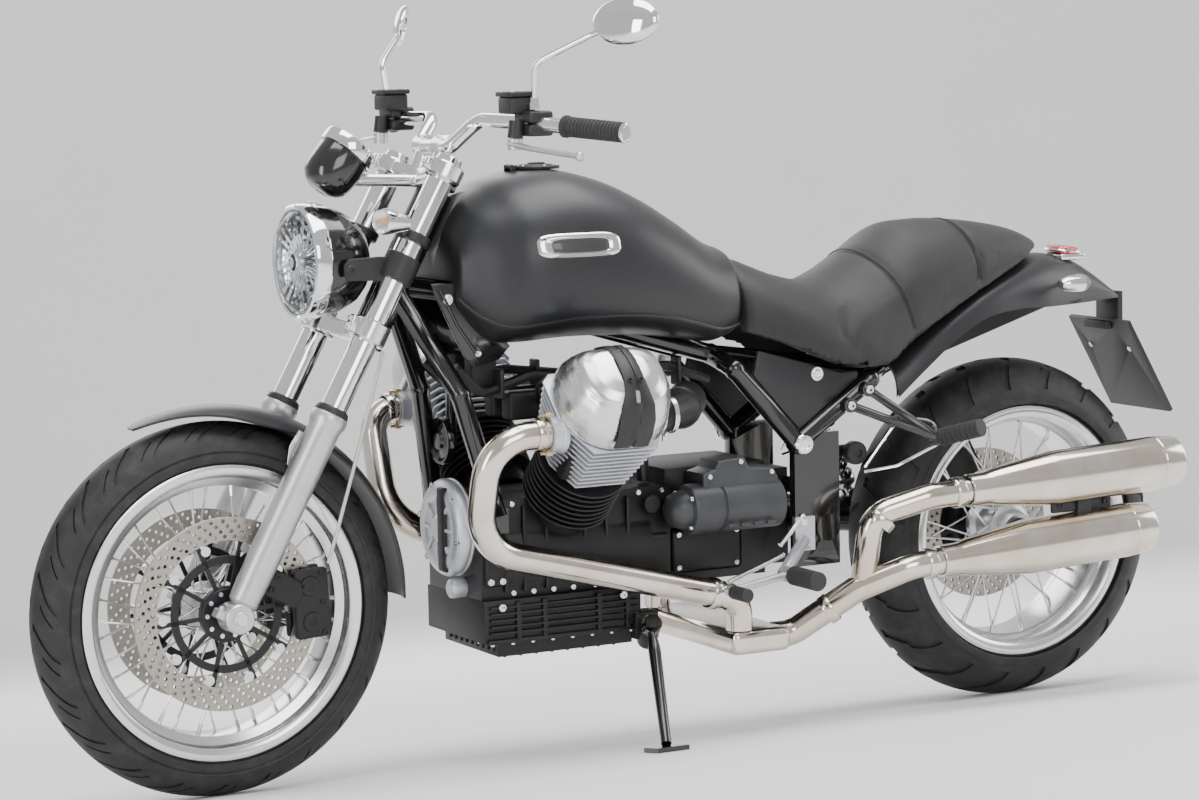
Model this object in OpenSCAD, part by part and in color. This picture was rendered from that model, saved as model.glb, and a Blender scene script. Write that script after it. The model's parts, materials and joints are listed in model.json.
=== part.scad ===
/* [Stance] */
// Lean to the left when parked on the side stand, in degrees
lean = 9; // [7:0.5:11]
// Distance from the rear axle to the front axle
wheelbase = 1570; // [1540:5:1640]
// Angle of the fork back from the vertical, in degrees
rake = 29; // [27:0.5:31]
// How far the steering axis lies behind the fork legs
yoke_offset = 45; // [40:1:50]
// Steering lock to each side, in degrees
steer_lock = 30; // [20:1:32]

/* [Front wheel] */
// Outer radius of the front tyre
front_r = 312; // [305:1:318]
// Width of the front tyre
front_w = 118; // [110:1:124]
// Radius of the front rim at its lip
front_rim_r = 245; // [240:1:250]
// Radius of the front brake discs
front_disc_r = 160; // [150:1:165]
// Distance from the middle plane to each front disc
front_disc_y = 62; // [60:1:64]

/* [Rear wheel] */
// Outer radius of the rear tyre
rear_r = 315; // [308:1:322]
// Width of the rear tyre
rear_w = 178; // [170:1:180]
// Radius of the rear rim at its lip
rear_rim_r = 232; // [228:1:236]
// Radius of the rear brake disc
rear_disc_r = 141; // [130:1:145]

/* [Fork] */
// Distance from the middle plane to each fork leg
leg_y = 102; // [100:1:108]
// Radius of the fork tubes
tube_r = 22.5; // [20:0.5:24]
// Radius of the fork sliders
slider_r = 27.5; // [26:0.5:30]
// Length of the fork from the axle to the top of the tubes
fork_len = 836; // [820:2:850]

/* [Engine] */
// Height of the crankshaft
crank_z = 362; // [355:1:370]
// Distance along the bore from the crankshaft to the barrel foot
bore_foot = 140; // [135:1:150]
// Fore-and-aft size of each cylinder head
head_len = 196; // [180:2:210]
// Radius of the exhaust pipes
pipe_r = 24; // [20:0.5:26]
// Radius of the silencers
silencer_r = 49; // [44:1:52]

/* [Bodywork] */
// Half width of the fuel tank at its widest
tank_half = 190; // [175:1:200]
// Height of the fuel tank's top
tank_top = 1016; // [1000:2:1030]
// Half width of the seat at its widest
seat_half = 152; // [140:1:160]
// Height of the seat's lowest point
seat_low = 794; // [780:2:810]

/* [Side stand] */
// Length of the side stand's leg
stand_len = 244; // [236:1:256]

/* [Hidden] */
$fn = 48;

// Middle of the whole machine, so that the origin is under the centre of its box
middle_x = 773;
middle_y = 197;
lift = 1;

// ---- vector and path helpers ----
function unit(v) = v / norm(v);
function flip_y(p) = [p.x, -p.y, p.z];
function corner_arc(a, b, c, r, steps) =
    let (u = unit(a - b), v = unit(c - b))
    let (half = acos(u * v) / 2)
    let (centre = b + unit(u + v) * r / sin(half))
    let (p = b + u * r / tan(half) - centre, q = b + v * r / tan(half) - centre)
    let (turn = 180 - 2 * half)
    [for (i = [0:steps]) centre + (p * sin(turn * (1 - i / steps)) + q * sin(turn * i / steps)) / sin(turn)];
// A path of straight runs whose corners are rounded to the radii in the list
function rounded_path(points, radii, steps = 5) =
    [points[0],
     for (i = [1:len(points) - 2])
        for (p = corner_arc(points[i - 1], points[i], points[i + 1], radii[i - 1], steps)) p,
     points[len(points) - 1]];
function tangents(path) =
    [for (i = [0:len(path) - 1]) unit(path[min(i + 1, len(path) - 1)] - path[max(i - 1, 0)])];
function first_normal(t) = unit(cross(t, abs(t.z) < 0.9 ? [0, 0, 1] : [1, 0, 0]));
function normals(t) =
    [for (i = 0, n = first_normal(t[0]); i < len(t); i = i + 1, n = i < len(t) ? unit(n - (n * t[i]) * t[i]) : n) n];

// A round bar or pipe that follows a path
module tube(path, r, sides = 14) {
    t = tangents(path);
    n = normals(t);
    rings = [for (i = [0:len(path) - 1]) let (b = cross(t[i], n[i]))
        [for (k = [0:sides - 1]) path[i] + r * (cos(360 * k / sides) * n[i] + sin(360 * k / sides) * b)]];
    loft(rings);
}

// A closed skin through a list of rings with equal point counts
module loft(rings) {
    m = len(rings[0]);
    last = len(rings) - 1;
    points = [for (ring = rings) for (p = ring) p];
    sides = [for (i = [0:last - 1]) for (k = [0:m - 1])
        let (a = i * m + k, b = i * m + (k + 1) % m)
        each [[a, a + m, b + m], [a, b + m, b]]];
    caps = [[for (k = [0:m - 1]) k], [for (k = [m - 1:-1:0]) last * m + k]];
    polyhedron(points = points, faces = concat(sides, caps), convexity = 6);
}

// An arched strip through sections whose outer points run one way and inner points back
module arched_strip(rings) {
    m = len(rings[0]);
    last = len(rings) - 1;
    points = [for (ring = rings) for (p = ring) p];
    sides = [for (i = [0:last - 1]) for (k = [0:m - 1])
        let (a = i * m + k, b = i * m + (k + 1) % m)
        each [[a, a + m, b + m], [a, b + m, b]]];
    ends = [for (k = [0:m / 2 - 2]) each [
        [m - 1 - k, k, k + 1],
        [m - 1 - k, k + 1, m - 2 - k]]];
    caps = concat(ends, [for (t = ends) [t[2], t[1], t[0]] + last * m * [1, 1, 1]]);
    polyhedron(points = points, faces = concat(sides, caps), convexity = 6);
}

// A round bar from one point to another
module rod(a, b, r, r2 = undef) {
    d = b - a;
    translate(a)
        rotate([0, acos(d.z / norm(d)), atan2(d.y, d.x)])
            cylinder(h = norm(d), r1 = r, r2 = is_undef(r2) ? r : r2);
}

// A frame member, twelve-sided so that many of them join cleanly
module strut(a, b, r) {
    d = b - a;
    translate(a)
        rotate([0, acos(d.z / norm(d)), atan2(d.y, d.x)])
            cylinder(h = norm(d), r = r, $fn = 12);
}

// A hollow round bar
module pipe(a, b, r, bore) {
    d = unit(b - a);
    difference() {
        rod(a, b, r);
        rod(a - d, b + d, bore);
    }
}

module both_sides() {
    children();
    mirror([0, 1, 0]) children();
}

// Turns a shape drawn about Z so that its axis lies along Y
module about_y() rotate([-90, 0, 0]) children();

// ---- frames ----
front_axle_at = [wheelbase, 0, front_r];
rear_axle_at = [0, 0, rear_r];
fork_up = [-sin(rake), 0, cos(rake)];
fork_fore = [cos(rake), 0, sin(rake)];
function on_fork(fore, y, up) = front_axle_at + fork_fore * fore + [0, y, 0] + fork_up * up;

module place() translate([-middle_x, -middle_y, lift]) rotate([-lean, 0, 0]) children();
module at_front_axle() translate(front_axle_at) children();
module at_rear_axle() translate(rear_axle_at) children();
module at_fork() at_front_axle() rotate([0, -rake, 0]) children();

// ---- wheels ----
function arc_points(centre, r, from, to, steps) =
    [for (i = [0:steps]) let (a = from + (to - from) * i / steps) [centre + r * cos(a), r * sin(a)]];

// A tyre's section: crown, side walls and beads, as [radius, y]
module tyre_shape(r, half, crown, lip_r, bead_y, wall, edge_angle) {
    outer = arc_points(r - crown, crown, -edge_angle, edge_angle, 12);
    inner = arc_points(r - crown, crown - wall, edge_angle - 4, 4 - edge_angle, 10);
    bulge_r = (outer[12].x + lip_r) / 2;
    polygon(concat(
        outer,
        [[bulge_r, half], [lip_r + 1, bead_y + 1.6], [lip_r - 13.5, bead_y - 0.4], [lip_r - 13.7, bead_y - 10],
         [lip_r, bead_y - 9]],
        inner,
        [[lip_r, 9 - bead_y], [lip_r - 13.7, 10 - bead_y], [lip_r - 13.5, 0.4 - bead_y], [lip_r + 1, -bead_y - 1.6],
         [bulge_r, -half]]));
}

// A rim's section: lips, bead seats and the well that carries the spokes
module rim_shape(lip_r, bead_y, well_r, well_y) {
    polygon([
        [lip_r, bead_y + 5], [lip_r - 9, bead_y + 7], [lip_r - 20, bead_y + 2], [lip_r - 23, bead_y - 16],
        [well_r - 7, well_y + 4], [well_r - 7, -well_y - 4],
        [lip_r - 23, 16 - bead_y], [lip_r - 20, -bead_y - 2], [lip_r - 9, -bead_y - 7], [lip_r, -bead_y - 5],
        [lip_r, -bead_y - 2], [lip_r - 14, -bead_y], [lip_r - 17, 19 - bead_y], [well_r, -well_y],
        [well_r, well_y], [lip_r - 17, bead_y - 19], [lip_r - 14, bead_y], [lip_r, bead_y + 2]]);
}

// One set of crossed spokes between a hub's flanges and the rim's well
module spoke_set(count, hub_r, rim_r, inner_y, outer_y, rim_y, sweep, thick) {
    step = 360 / count;
    for (i = [0:count - 1]) {
        side = (i % 2 == 0) ? 1 : -1;
        lead = (i % 4 < 2) ? 1 : -1;
        rim_a = step * i;
        hub_a = rim_a - lead * sweep;
        hub_y = side * (lead > 0 ? inner_y : outer_y);
        from = [hub_r * cos(hub_a), hub_y, hub_r * sin(hub_a)];
        to = [rim_r * cos(rim_a), side * rim_y, rim_r * sin(rim_a)];
        rod(from, to, thick);
    }
}

front_bead_y = 49;
front_well_r = 214;
front_hub_half = 52;
axle_r = 12.5;
axle_play = 0.05;
front_axle_half = 131;
axle_bore = 9;
hub_flange_r = 42;

module front_tyre() place() at_front_axle() color("#191a1b")
    about_y() rotate_extrude($fn = 96)
        tyre_shape(front_r, front_w / 2, 60, front_rim_r, front_bead_y, 9, 74);

module front_rim() place() at_front_axle() color("#c9cbcd")
    about_y() rotate_extrude($fn = 96) rim_shape(front_rim_r, front_bead_y, front_well_r, 18);

module front_hub() place() at_front_axle() color("#8d9094")
    about_y() rotate_extrude($fn = 64)
        polygon([[axle_r + axle_play, -front_hub_half], [32, -front_hub_half], [32, -38],
            [hub_flange_r, -38], [hub_flange_r, -27], [28, -22], [28, 22], [hub_flange_r, 27], [hub_flange_r, 38],
            [32, 38], [32, front_hub_half], [axle_r + axle_play, front_hub_half]]);

module front_spokes() place() at_front_axle() color("#d4d6d8")
    spoke_set(36, hub_flange_r + 1.8, front_well_r - 7.5, 29, 36, 9, 32, 1.9);

// The ten carrier arms hold the disc by bobbins between the two
module front_disc_half() {
    disc_thick = 5;
    carrier_r = 97;
    rotate([-90, 0, 0]) translate([0, 0, front_disc_y - disc_thick / 2]) {
        difference() {
            cylinder(h = disc_thick, r = front_disc_r, $fn = 96);
            translate([0, 0, -1]) cylinder(h = disc_thick + 2, r = 122, $fn = 96);
        }
        difference() {
            cylinder(h = disc_thick - 1, r = carrier_r, $fn = 64);
            translate([0, 0, -1]) cylinder(h = disc_thick + 2, r = 86, $fn = 64);
        }
        for (i = [0:9]) rotate([0, 0, 36 * i]) {
            translate([31, -6, 0]) cube([60, 12, disc_thick - 1]);
            translate([94, -8, 0]) cube([32, 16, disc_thick - 1]);
        }
    }
    carrier_foot_y = front_hub_half + 0.2;
    rotate([-90, 0, 0]) translate([0, 0, carrier_foot_y]) difference() {
        cylinder(h = front_disc_y + 1.5 - carrier_foot_y, r = 46);
        translate([0, 0, -1]) cylinder(h = 20, r = 20);
    }
}

module front_discs() place() at_front_axle() color("#8a8173") both_sides() front_disc_half();

rear_bead_y = 75;
rear_well_r = 204;
rear_axle_r = 14;
rear_hub_right = -58;
rear_hub_left = 62;

module rear_tyre() place() at_rear_axle() color("#191a1b")
    about_y() rotate_extrude($fn = 96)
        tyre_shape(rear_r, rear_w / 2, 90, rear_rim_r, rear_bead_y, 10, 70);

module rear_rim() place() at_rear_axle() color("#c9cbcd")
    about_y() rotate_extrude($fn = 96) rim_shape(rear_rim_r, rear_bead_y, rear_well_r, 34);

module rear_hub() place() at_rear_axle() color("#8d9094")
    about_y() rotate_extrude($fn = 64)
        polygon([[rear_axle_r + axle_play, rear_hub_right], [38, rear_hub_right], [38, -46], [46, -40], [46, -28],
            [34, -22], [34, 22], [46, 28], [46, 40], [36, 44], [30, rear_hub_left],
            [rear_axle_r + axle_play, rear_hub_left]]);

module rear_spokes() place() at_rear_axle() color("#d4d6d8")
    spoke_set(36, 47.8, rear_well_r - 7.5, 30, 37, 22, 32, 1.9);

rear_disc_y = -55;
module rear_disc() place() at_rear_axle() color("#8a8173")
    rotate([-90, 0, 0]) translate([0, 0, rear_disc_y - 2.5]) difference() {
        cylinder(h = 5, r = rear_disc_r, $fn = 96);
        translate([0, 0, -1]) cylinder(h = 7, r = 38.3);
        for (i = [0:5]) rotate([0, 0, 60 * i]) translate([76, 0, -1]) cylinder(h = 7, r = 21);
    }

// ---- front fork and steering ----
lower_yoke_at = 518;
upper_yoke_at = 800;
slider_top = 365;
slider_foot = 140;
clamp_play = 0.05;

module front_axle() place() at_front_axle() color("#9a9da1")
    rotate([-90, 0, 0]) difference() {
        translate([0, 0, -front_axle_half]) cylinder(h = 2 * front_axle_half, r = axle_r);
        translate([0, 0, -front_axle_half - 1]) cylinder(h = 2 * front_axle_half + 2, r = axle_bore);
    }

module fork_tubes() place() color("#dfe2e5") both_sides()
    pipe(on_fork(0, leg_y, slider_foot + 0.1), on_fork(0, leg_y, fork_len), tube_r, tube_r - 4);

// Each slider: a bored leg with a collar at the top and a split clamp for the axle at the foot
module fork_sliders() place() at_fork() color("#b4b7ba") both_sides() difference() {
    union() {
        translate([0, leg_y, 24]) cylinder(h = slider_top - 24, r = slider_r);
        translate([0, leg_y, slider_top - 14]) cylinder(h = 14, r = slider_r + 4);
        translate([0, leg_y - 22, 0]) rotate([-90, 0, 0]) cylinder(h = 46, r = 25);
        translate([-17, leg_y - 14, 0]) cube([34, 30, 44]);
        translate([8, leg_y - 12, -14]) cube([30, 26, 16]);
    }
    translate([0, leg_y, slider_foot]) cylinder(h = slider_top, r = tube_r + 0.3);
    translate([0, leg_y - 30, 0]) rotate([-90, 0, 0]) cylinder(h = 70, r = axle_r + 0.1);
}

module yoke_plate(low, high, ring_r) {
    h = high - low;
    translate([0, 0, low]) linear_extrude(h)
        polygon([[-yoke_offset - 25, -22], [-yoke_offset - 25, 22], [-24, leg_y - 8], [20, leg_y - 14],
            [-yoke_offset + 42, 30], [-yoke_offset + 42, -30], [20, 14 - leg_y], [-24, 8 - leg_y]]);
    for (y = [-leg_y, leg_y]) translate([0, y, low - 4]) cylinder(h = h + 8, r = ring_r);
}

module leg_bores(low, high) for (y = [-leg_y, leg_y])
    translate([0, y, low - 10]) cylinder(h = high - low + 20, r = tube_r + clamp_play);

stem_r = 15;
stem_play = 0.05;
module lower_yoke() place() at_fork() color("#c3c6c9") {
    difference() {
        yoke_plate(lower_yoke_at - 16, lower_yoke_at + 12, 32);
        leg_bores(lower_yoke_at - 16, lower_yoke_at + 12);
    }
    translate([-yoke_offset, 0, lower_yoke_at]) cylinder(h = upper_yoke_at - lower_yoke_at + 20, r = stem_r);
}

bar_clamp_at = [1146, 0, 1060];
module upper_yoke() place() color("#c3c6c9") {
    at_fork() difference() {
        yoke_plate(upper_yoke_at, upper_yoke_at + 20, 32);
        leg_bores(upper_yoke_at, upper_yoke_at + 20);
        translate([-yoke_offset, 0, upper_yoke_at - 1]) cylinder(h = 40, r = stem_r + 0.1);
    }
    at_fork() translate([-yoke_offset, 0, upper_yoke_at + 20.1]) cylinder(h = 10, r = 19);
    both_sides() difference() {
        rod(bar_clamp_at + [12, 36, -38], bar_clamp_at + [0, 36, 0], 15);
        rod(bar_clamp_at + [0, 10, 0], bar_clamp_at + [0, 60, 0], bar_r + 0.1);
    }
    both_sides() difference() {
        rod(bar_clamp_at + [0, 22, 0], bar_clamp_at + [0, 50, 0], 19);
        rod(bar_clamp_at + [0, 10, 0], bar_clamp_at + [0, 60, 0], bar_r + 0.1);
    }
}

bar_r = 12.5;
bar_bend = [1104, 88, 1104];
bar_elbow = [1090, 284, 1100];
bar_tip = [1018, 441, 1086];
bar_clamp_edge = bar_clamp_at + [0, 52, 0];
bar_half = rounded_path([bar_clamp_edge, bar_clamp_edge + [0, 12, 0], bar_bend, bar_elbow, bar_tip],
    [11, 34, 60], 4);
module handlebar() place() color("#dfe2e5") {
    back = [for (i = [len(bar_half) - 1:-1:0]) flip_y(bar_half[i])];
    tube(concat(back, bar_half), bar_r, 14);
}

grip_axis = unit(bar_tip - bar_elbow);
module handlebar_grips() place() color("#1b1b1c") both_sides()
    pipe(bar_tip - grip_axis * 122, bar_tip - grip_axis * 3, 17, bar_r + 0.3);

// Switch housings round the bar, with a fluid reservoir standing on each
pod_at = [1091, 262, 1101];
module control_pods() place() color("#1d1e20") both_sides() difference() {
    union() {
        translate(pod_at + [-22, -28, -22]) cube([46, 62, 44]);
        translate(pod_at + [-2, -44, 14]) cube([46, 52, 38]);
        rod(pod_at + [34, 0, -24], pod_at + [34, 0, 0], 13);
    }
    tube([for (i = [8:len(bar_half) - 1]) bar_half[i]], bar_r + 0.6, 20);
}

module hand_levers() place() color("#c6c8ca") both_sides() {
    rod(pod_at + [40, 0, -31], pod_at + [38, 66, -40], 7);
    rod(pod_at + [38, 64, -40], pod_at + [6, 164, -50], 6.5);
    translate(pod_at + [5, 166, -50]) sphere(r = 8);
    rod(pod_at + [34, 0, -44], pod_at + [34, 0, -24.4], 13);
}

mirror_foot = pod_at + [8, 22, 34.3];
mirror_head = [1004, 420, 1262];
module mirrors() place() color("#d9dcdf") both_sides() {
    tube(rounded_path([mirror_foot, mirror_foot + [6, 12, 62], mirror_head + [34, -50, -20], mirror_head],
        [30, 20], 5), 5.5, 10);
    translate(mirror_foot + [0, 0, -12]) cylinder(h = 22, r = 9);
    translate(mirror_head) rotate([0, -12, 28]) scale([0.28, 1, 0.62]) sphere(r = 62, $fn = 24);
}

lamp_at = [1404, 0, 876];
lamp_r = 97;
module headlamp() place() translate(lamp_at) rotate([0, -90, 0]) color("#1b1c1e")
    rotate_extrude($fn = 64)
        polygon([[0, 12], [lamp_r - 7, 12], [lamp_r - 7, 0], [lamp_r, 2], [lamp_r, 26], [lamp_r - 4, 32],
            [lamp_r - 8, 60], [lamp_r - 22, 92], [lamp_r - 50, 116], [0, 126]]);

module headlamp_lens() place() translate(lamp_at) rotate([0, -90, 0]) color("#dfe8ee", 0.6)
    rotate_extrude($fn = 64)
        polygon([[0, -15], [40, -12], [70, -6], [lamp_r - 8, 2], [lamp_r - 8, 11.7], [0, 11.7]]);

// A clamp on each fork tube with an arm that reaches the side of the lamp
module headlamp_bracket() place() color("#222325") both_sides() {
    low = 610;
    at_fork() difference() {
        translate([0, leg_y, low]) cylinder(h = 44, r = tube_r + 7);
        translate([0, leg_y, low - 1]) cylinder(h = 46, r = tube_r + clamp_play);
    }
    difference() {
        translate([1256, lamp_r + 0.3, 846]) cube([104, 8, 40]);
        at_fork() translate([0, leg_y, low - 60]) cylinder(h = 160, r = tube_r + 4);
    }
    rod([1352, lamp_r - 6, 866], [1352, lamp_r + 12, 866], 10);
}

speedo_at = [1326, 0, 1034];
speedo_axis = unit([-0.66, 0, 0.75]);
module speedometer() place() color("#232426") {
    rod(speedo_at - speedo_axis * 52, speedo_at - speedo_axis * 26, 30, 45);
    rod(speedo_at - speedo_axis * 26.01, speedo_at + speedo_axis * 38, 45);
    rod(speedo_at + speedo_axis * 24, speedo_at + speedo_axis * 46, 49);
    difference() {
        rod(speedo_at - speedo_axis * 30, on_fork(-6, 0, upper_yoke_at + 10), 12);
        at_fork() translate([-200, -60, upper_yoke_at - 10]) cube([197.3, 120, 50]);
    }
}

// A bullet-shaped lamp that points along Z
module lamp_body(tail, wide, nose) rotate_extrude()
    polygon([[0, -34], [tail, -34], [wide, 12], [nose, 26], [0, 30]]);

module front_indicators() place() color("#e6e6e4") both_sides() {
    at_fork() difference() {
        translate([0, leg_y, 680]) cylinder(h = 16, r = tube_r + 6);
        translate([0, leg_y, 679]) cylinder(h = 18, r = tube_r + clamp_play);
    }
    strut(on_fork(22, leg_y + 16, 688), [1290, 150, 942], 6);
    translate([1300, 154, 945]) rotate([0, 84, 0]) lamp_body(12, 22, 17);
}

// The mudguard is an arched strip round the tyre with stays to the sliders
fender_r = 328;
module front_fender() place() color("#232427") {
    at_front_axle() rotate([90, 0, 0]) rotate([0, 0, 66]) rotate_extrude(angle = 116, $fn = 96)
        polygon(concat(
            [for (i = [-6:6]) [fender_r - 22 + 34 * cos(i * 13), 66 * sin(i * 13)]],
            [for (i = [6:-1:-6]) [fender_r - 22 + 29 * cos(i * 13), 62 * sin(i * 13)]]));
    both_sides() at_fork() translate([-30, 60, 300]) cube([60, leg_y - slider_r - 60.3, 22]);
}

caliper_arm = 140;
caliper_angle = 148;
module front_calipers() place() color("#1f2022") both_sides() at_fork() difference() {
    union() {
        rotate([0, -caliper_angle, 0]) translate([caliper_arm - 32, 38, -62]) cube([66, 54, 124]);
        translate([-100, leg_y - 22, 52]) cube([100 - slider_r + 4, 14, 50]);
    }
    rotate([-90, 0, 0]) translate([0, 0, front_disc_y - 8.2]) cylinder(h = 16.4, r = front_disc_r + 6, $fn = 96);
    translate([0, leg_y, 0]) cylinder(h = 200, r = slider_r + 0.3);
}

module speedometer_cable() place() color("#a9abad")
    tube(rounded_path([on_fork(-34, leg_y + 6, lower_yoke_at - 20.5), on_fork(-60, leg_y + 14, 360),
        on_fork(-96, leg_y + 6, 200), on_fork(-112, leg_y - 8, 146)], [120, 40], 5), 3.2, 8);

// ---- frame ----
frame_tube = 17;
head_low = 545;
head_high = 792;
down_top = [1232, 40, 806];
down_mid = [1147, 80, 645];
down_foot = [1104, 126, 440];
spine_top = [1206, 26, 822];
spine_mid = [1040, 40, 796];
spine_rear = [650, 60, 682];
rail_top = [636, 118, 658];
rail_knee = [300, 58, 632];
rail_rear = [40, 60, 740];
pivot_top = [510, 118, 520];
brace_top = [358, 118, 624];
pivot_at = [454, 0, 367];

module frame() place() color("#17181a") {
    at_fork() difference() {
        translate([-yoke_offset, 0, head_low]) cylinder(h = head_high - head_low, r = 31);
        translate([-yoke_offset, 0, head_low - 1]) cylinder(h = head_high, r = stem_r + stem_play);
    }
    difference() {
        both_sides() {
            strut(down_top - [4, 22, -8], down_mid, frame_tube);
            strut(down_mid, down_foot, frame_tube);
            translate(down_mid) sphere(r = frame_tube + 2, $fn = 12);
            strut(spine_top - [-4, 24, -4], spine_mid, frame_tube);
            strut(spine_mid, spine_rear, frame_tube);
            translate(spine_mid) sphere(r = frame_tube + 2, $fn = 12);
            translate(spine_rear) sphere(r = frame_tube + 2, $fn = 12);
            strut(spine_rear, rail_top, frame_tube);
            translate(rail_top) sphere(r = frame_tube + 2, $fn = 12);
            strut(rail_top, pivot_top, frame_tube);
            strut(pivot_top, brace_top, frame_tube);
            translate(brace_top) sphere(r = frame_tube + 2, $fn = 12);
            translate(pivot_top) sphere(r = frame_tube + 4, $fn = 12);
            strut(spine_rear, rail_knee, 13);
            strut(brace_top, rail_knee, 13);
            strut(rail_knee, rail_rear, 13);
            translate(rail_knee) sphere(r = 15, $fn = 12);
        }
        at_fork() translate([-yoke_offset, 0, head_low - 1]) cylinder(h = head_high, r = stem_r + 6);
    }
    strut(spine_rear, flip_y(spine_rear), 12);
    translate([1022, -50, 788]) cube([36, 100, 53.7]);
    strut(brace_top, flip_y(brace_top), 12);
    strut(rail_rear, flip_y(rail_rear), 13);
    both_sides() translate([pivot_at.x - 28, 104, 300]) cube([92, 18, 236]);
    both_sides() rod([pivot_at.x, 100, pivot_at.z], [pivot_at.x, 130, pivot_at.z], 24);
    both_sides() translate([1086, case_half + 0.2, 412]) cube([36, 28, 42]);
}

// ---- engine ----
case_half = 101.8;
left_bore_x = 962;
right_bore_x = 1004;
stand_at = [828, 152, 232];
module engine_case() place() color("#242527") {
    translate([760, -case_half, 296]) cube([366, 2 * case_half, 168]);
    difference() {
        translate([800, 0, crank_z]) rotate([0, 90, 0]) cylinder(h = 300, r = 112);
        translate([790, -120, 180]) cube([320, 240, 116]);
    }
    translate([560, -86, 290]) cube([200.1, 172, 200]);
    translate([496, -60, 300]) cube([70, 120, 170]);
    rod([pivot_at.x + 42, -103.7, 440], [pivot_at.x + 42, 103.7, 440], 14);
}

module engine_sump() place() color("#1b1c1e") {
    translate([826, -112, 222]) cube([300, 224, 73.7]);
    translate([840, -104, 197]) cube([258, 208, 26]);
    translate([798, 82, 204]) cube([44, 42, 46]);
    rod(stand_at - stand_axis * 50, stand_at - stand_axis * 8.4, 17);
    rod(stand_at - stand_axis * 9, stand_at + stand_axis * 15, 7);
    rod(stand_at + stand_axis * 8.4, stand_at + stand_axis * 15, 13);
}

// The two cylinders stand at 45 degrees to each side of the vertical
module on_bore(side) translate([side > 0 ? left_bore_x : right_bore_x, 0, crank_z]) rotate([-45 * side, 0, 0])
    children();

module finned_block(len_x, len_y, low, high, core, pitch, thick) {
    translate([-len_x / 2 + core, -len_y / 2 + core, low]) cube([len_x - 2 * core, len_y - 2 * core, high - low]);
    for (z = [low:pitch:high - thick]) translate([-len_x / 2, -len_y / 2, z]) cube([len_x, len_y, thick]);
}

head_foot = 250;
cover_foot = 372;
cover_top = 474;
module cylinder_barrels() place() color("#1c1d1f") for (side = [-1, 1]) on_bore(side)
    difference() {
        union() {
            cylinder(h = head_foot - 0.3, r = 60);
            for (z = [bore_foot + 10:12:head_foot - 8]) translate([0, 0, z]) cylinder(h = 4, r = 80);
        }
        rotate([45 * side, 0, 0]) translate([-220, -case_half - 0.1, -200]) cube([440, 2 * case_half + 0.2, 303]);
        rotate([45 * side, 0, 0]) rotate([0, 90, 0]) cylinder(h = 500, r = 112.3, center = true);
    }

module cylinder_heads() place() color("#b9bcbf") for (side = [-1, 1]) on_bore(side) {
    finned_block(head_len, 176, head_foot, cover_foot - 0.3, 12, 9, 4.5);
    translate([head_len / 2 - 14, 16 * side, 338]) rotate([0, 90, 0]) cylinder(h = 26, r = 33.5);
}

// A rocker cover narrows towards its top and carries a strap over it
module rocker_covers() place() color("#d3d5d7") for (side = [-1, 1]) on_bore(side) {
    hull() {
        translate([-head_len / 2 + 4, -84, cover_foot]) cube([head_len - 8, 168, 34]);
        translate([-58, -50, cover_top - 4]) cube([116, 100, 4]);
    }
    translate([-20, -50, cover_top - 10]) cube([40, 100, 13]);
}

module alternator_cover() place() color("#c2c4c6") {
    translate([1126.3, 0, 410]) rotate([0, 90, 0]) cylinder(h = 26, r = 84, $fn = 64);
    translate([1152, 0, 410]) rotate([0, 90, 0]) cylinder(h = 10, r1 = 77, r2 = 66, $fn = 64);
}

module starter_motor() place() color("#2a2b2d") {
    rod([566, 136, 424], [746, 136, 424], 44);
    rod([746, 136, 424], [792, 136, 424], 36, 30);
    translate([600, 86.3, 400]) cube([130, 30, 80]);
}

module throttle_bodies() place() color("#2b2c2e") for (side = [-1, 1]) {
    head_back = (side > 0 ? left_bore_x : right_bore_x) - head_len / 2 - 0.3;
    mouth = [head_back - 26, side * 236, 604];
    rod([head_back, side * 236, 604], mouth - [2, 0, 0], 28);
    rod(mouth, [mouth.x - 64, side * 186, 606], 26, 30);
    rod([mouth.x - 50, side * 194, 606], [726, side * 108, 610], 34);
}

// ---- exhaust ----
box_top = 206;
function header_path(front, side) = [
    [front + 0.3, side * 250.3, 589.7], [front + (side > 0 ? 104 : 50), side * 250.3, 589.7],
    [front + (side > 0 ? 104 : 50), side * 190, 398],
    [650, side * 146, 262], [650, side * 146, box_top + 0.3]];
left_port_x = left_bore_x + head_len / 2 + 12;
right_port_x = right_bore_x + head_len / 2 + 12;

module exhaust_headers() place() color("#c9bfae") {
    tube(rounded_path(header_path(left_port_x, 1), [72, 100, 40], 7), pipe_r, 16);
    tube(rounded_path(header_path(right_port_x, -1), [46, 92, 40], 7), pipe_r, 16);
}

split_at = [426, 180, 262];
lower_front = [289.5, 233.5, 304];
lower_rear = [-145, 256, 332];
lower_dir = unit(lower_rear - lower_front);
upper_front = [233.5, 240, 426];
upper_rear = [-205, 259, 449];
upper_dir = unit(upper_rear - upper_front);
module exhaust_collector() place() color("#bdb5a6") {
    translate([556, -172, box_top - 44]) cube([120, 344, 44]);
    tube(rounded_path([[570, 122, 184], [530, 122, 184], split_at, lower_front - lower_dir * 56,
        lower_front - lower_dir * 0.3], [40, 60, 60], 5), pipe_r, 14);
    tube(rounded_path([split_at - [10, 0, 0], [412, 204, 392], upper_front - upper_dir * 80,
        upper_front - upper_dir * 0.3], [50, 50], 5), pipe_r - 1, 14);
}

module silencer(front, rear) {
    d = rear - front;
    n = norm(d);
    translate(front) rotate([0, acos(d.z / n), atan2(d.y, d.x)])
        rotate_extrude()
            polygon([[0, 0], [pipe_r + 5, 0], [pipe_r + 5, 40], [silencer_r, 176], [silencer_r, n - 44],
                [silencer_r - 5, n], [silencer_r - 12, n], [silencer_r - 12, n - 40], [0, n - 40]]);
}

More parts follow.
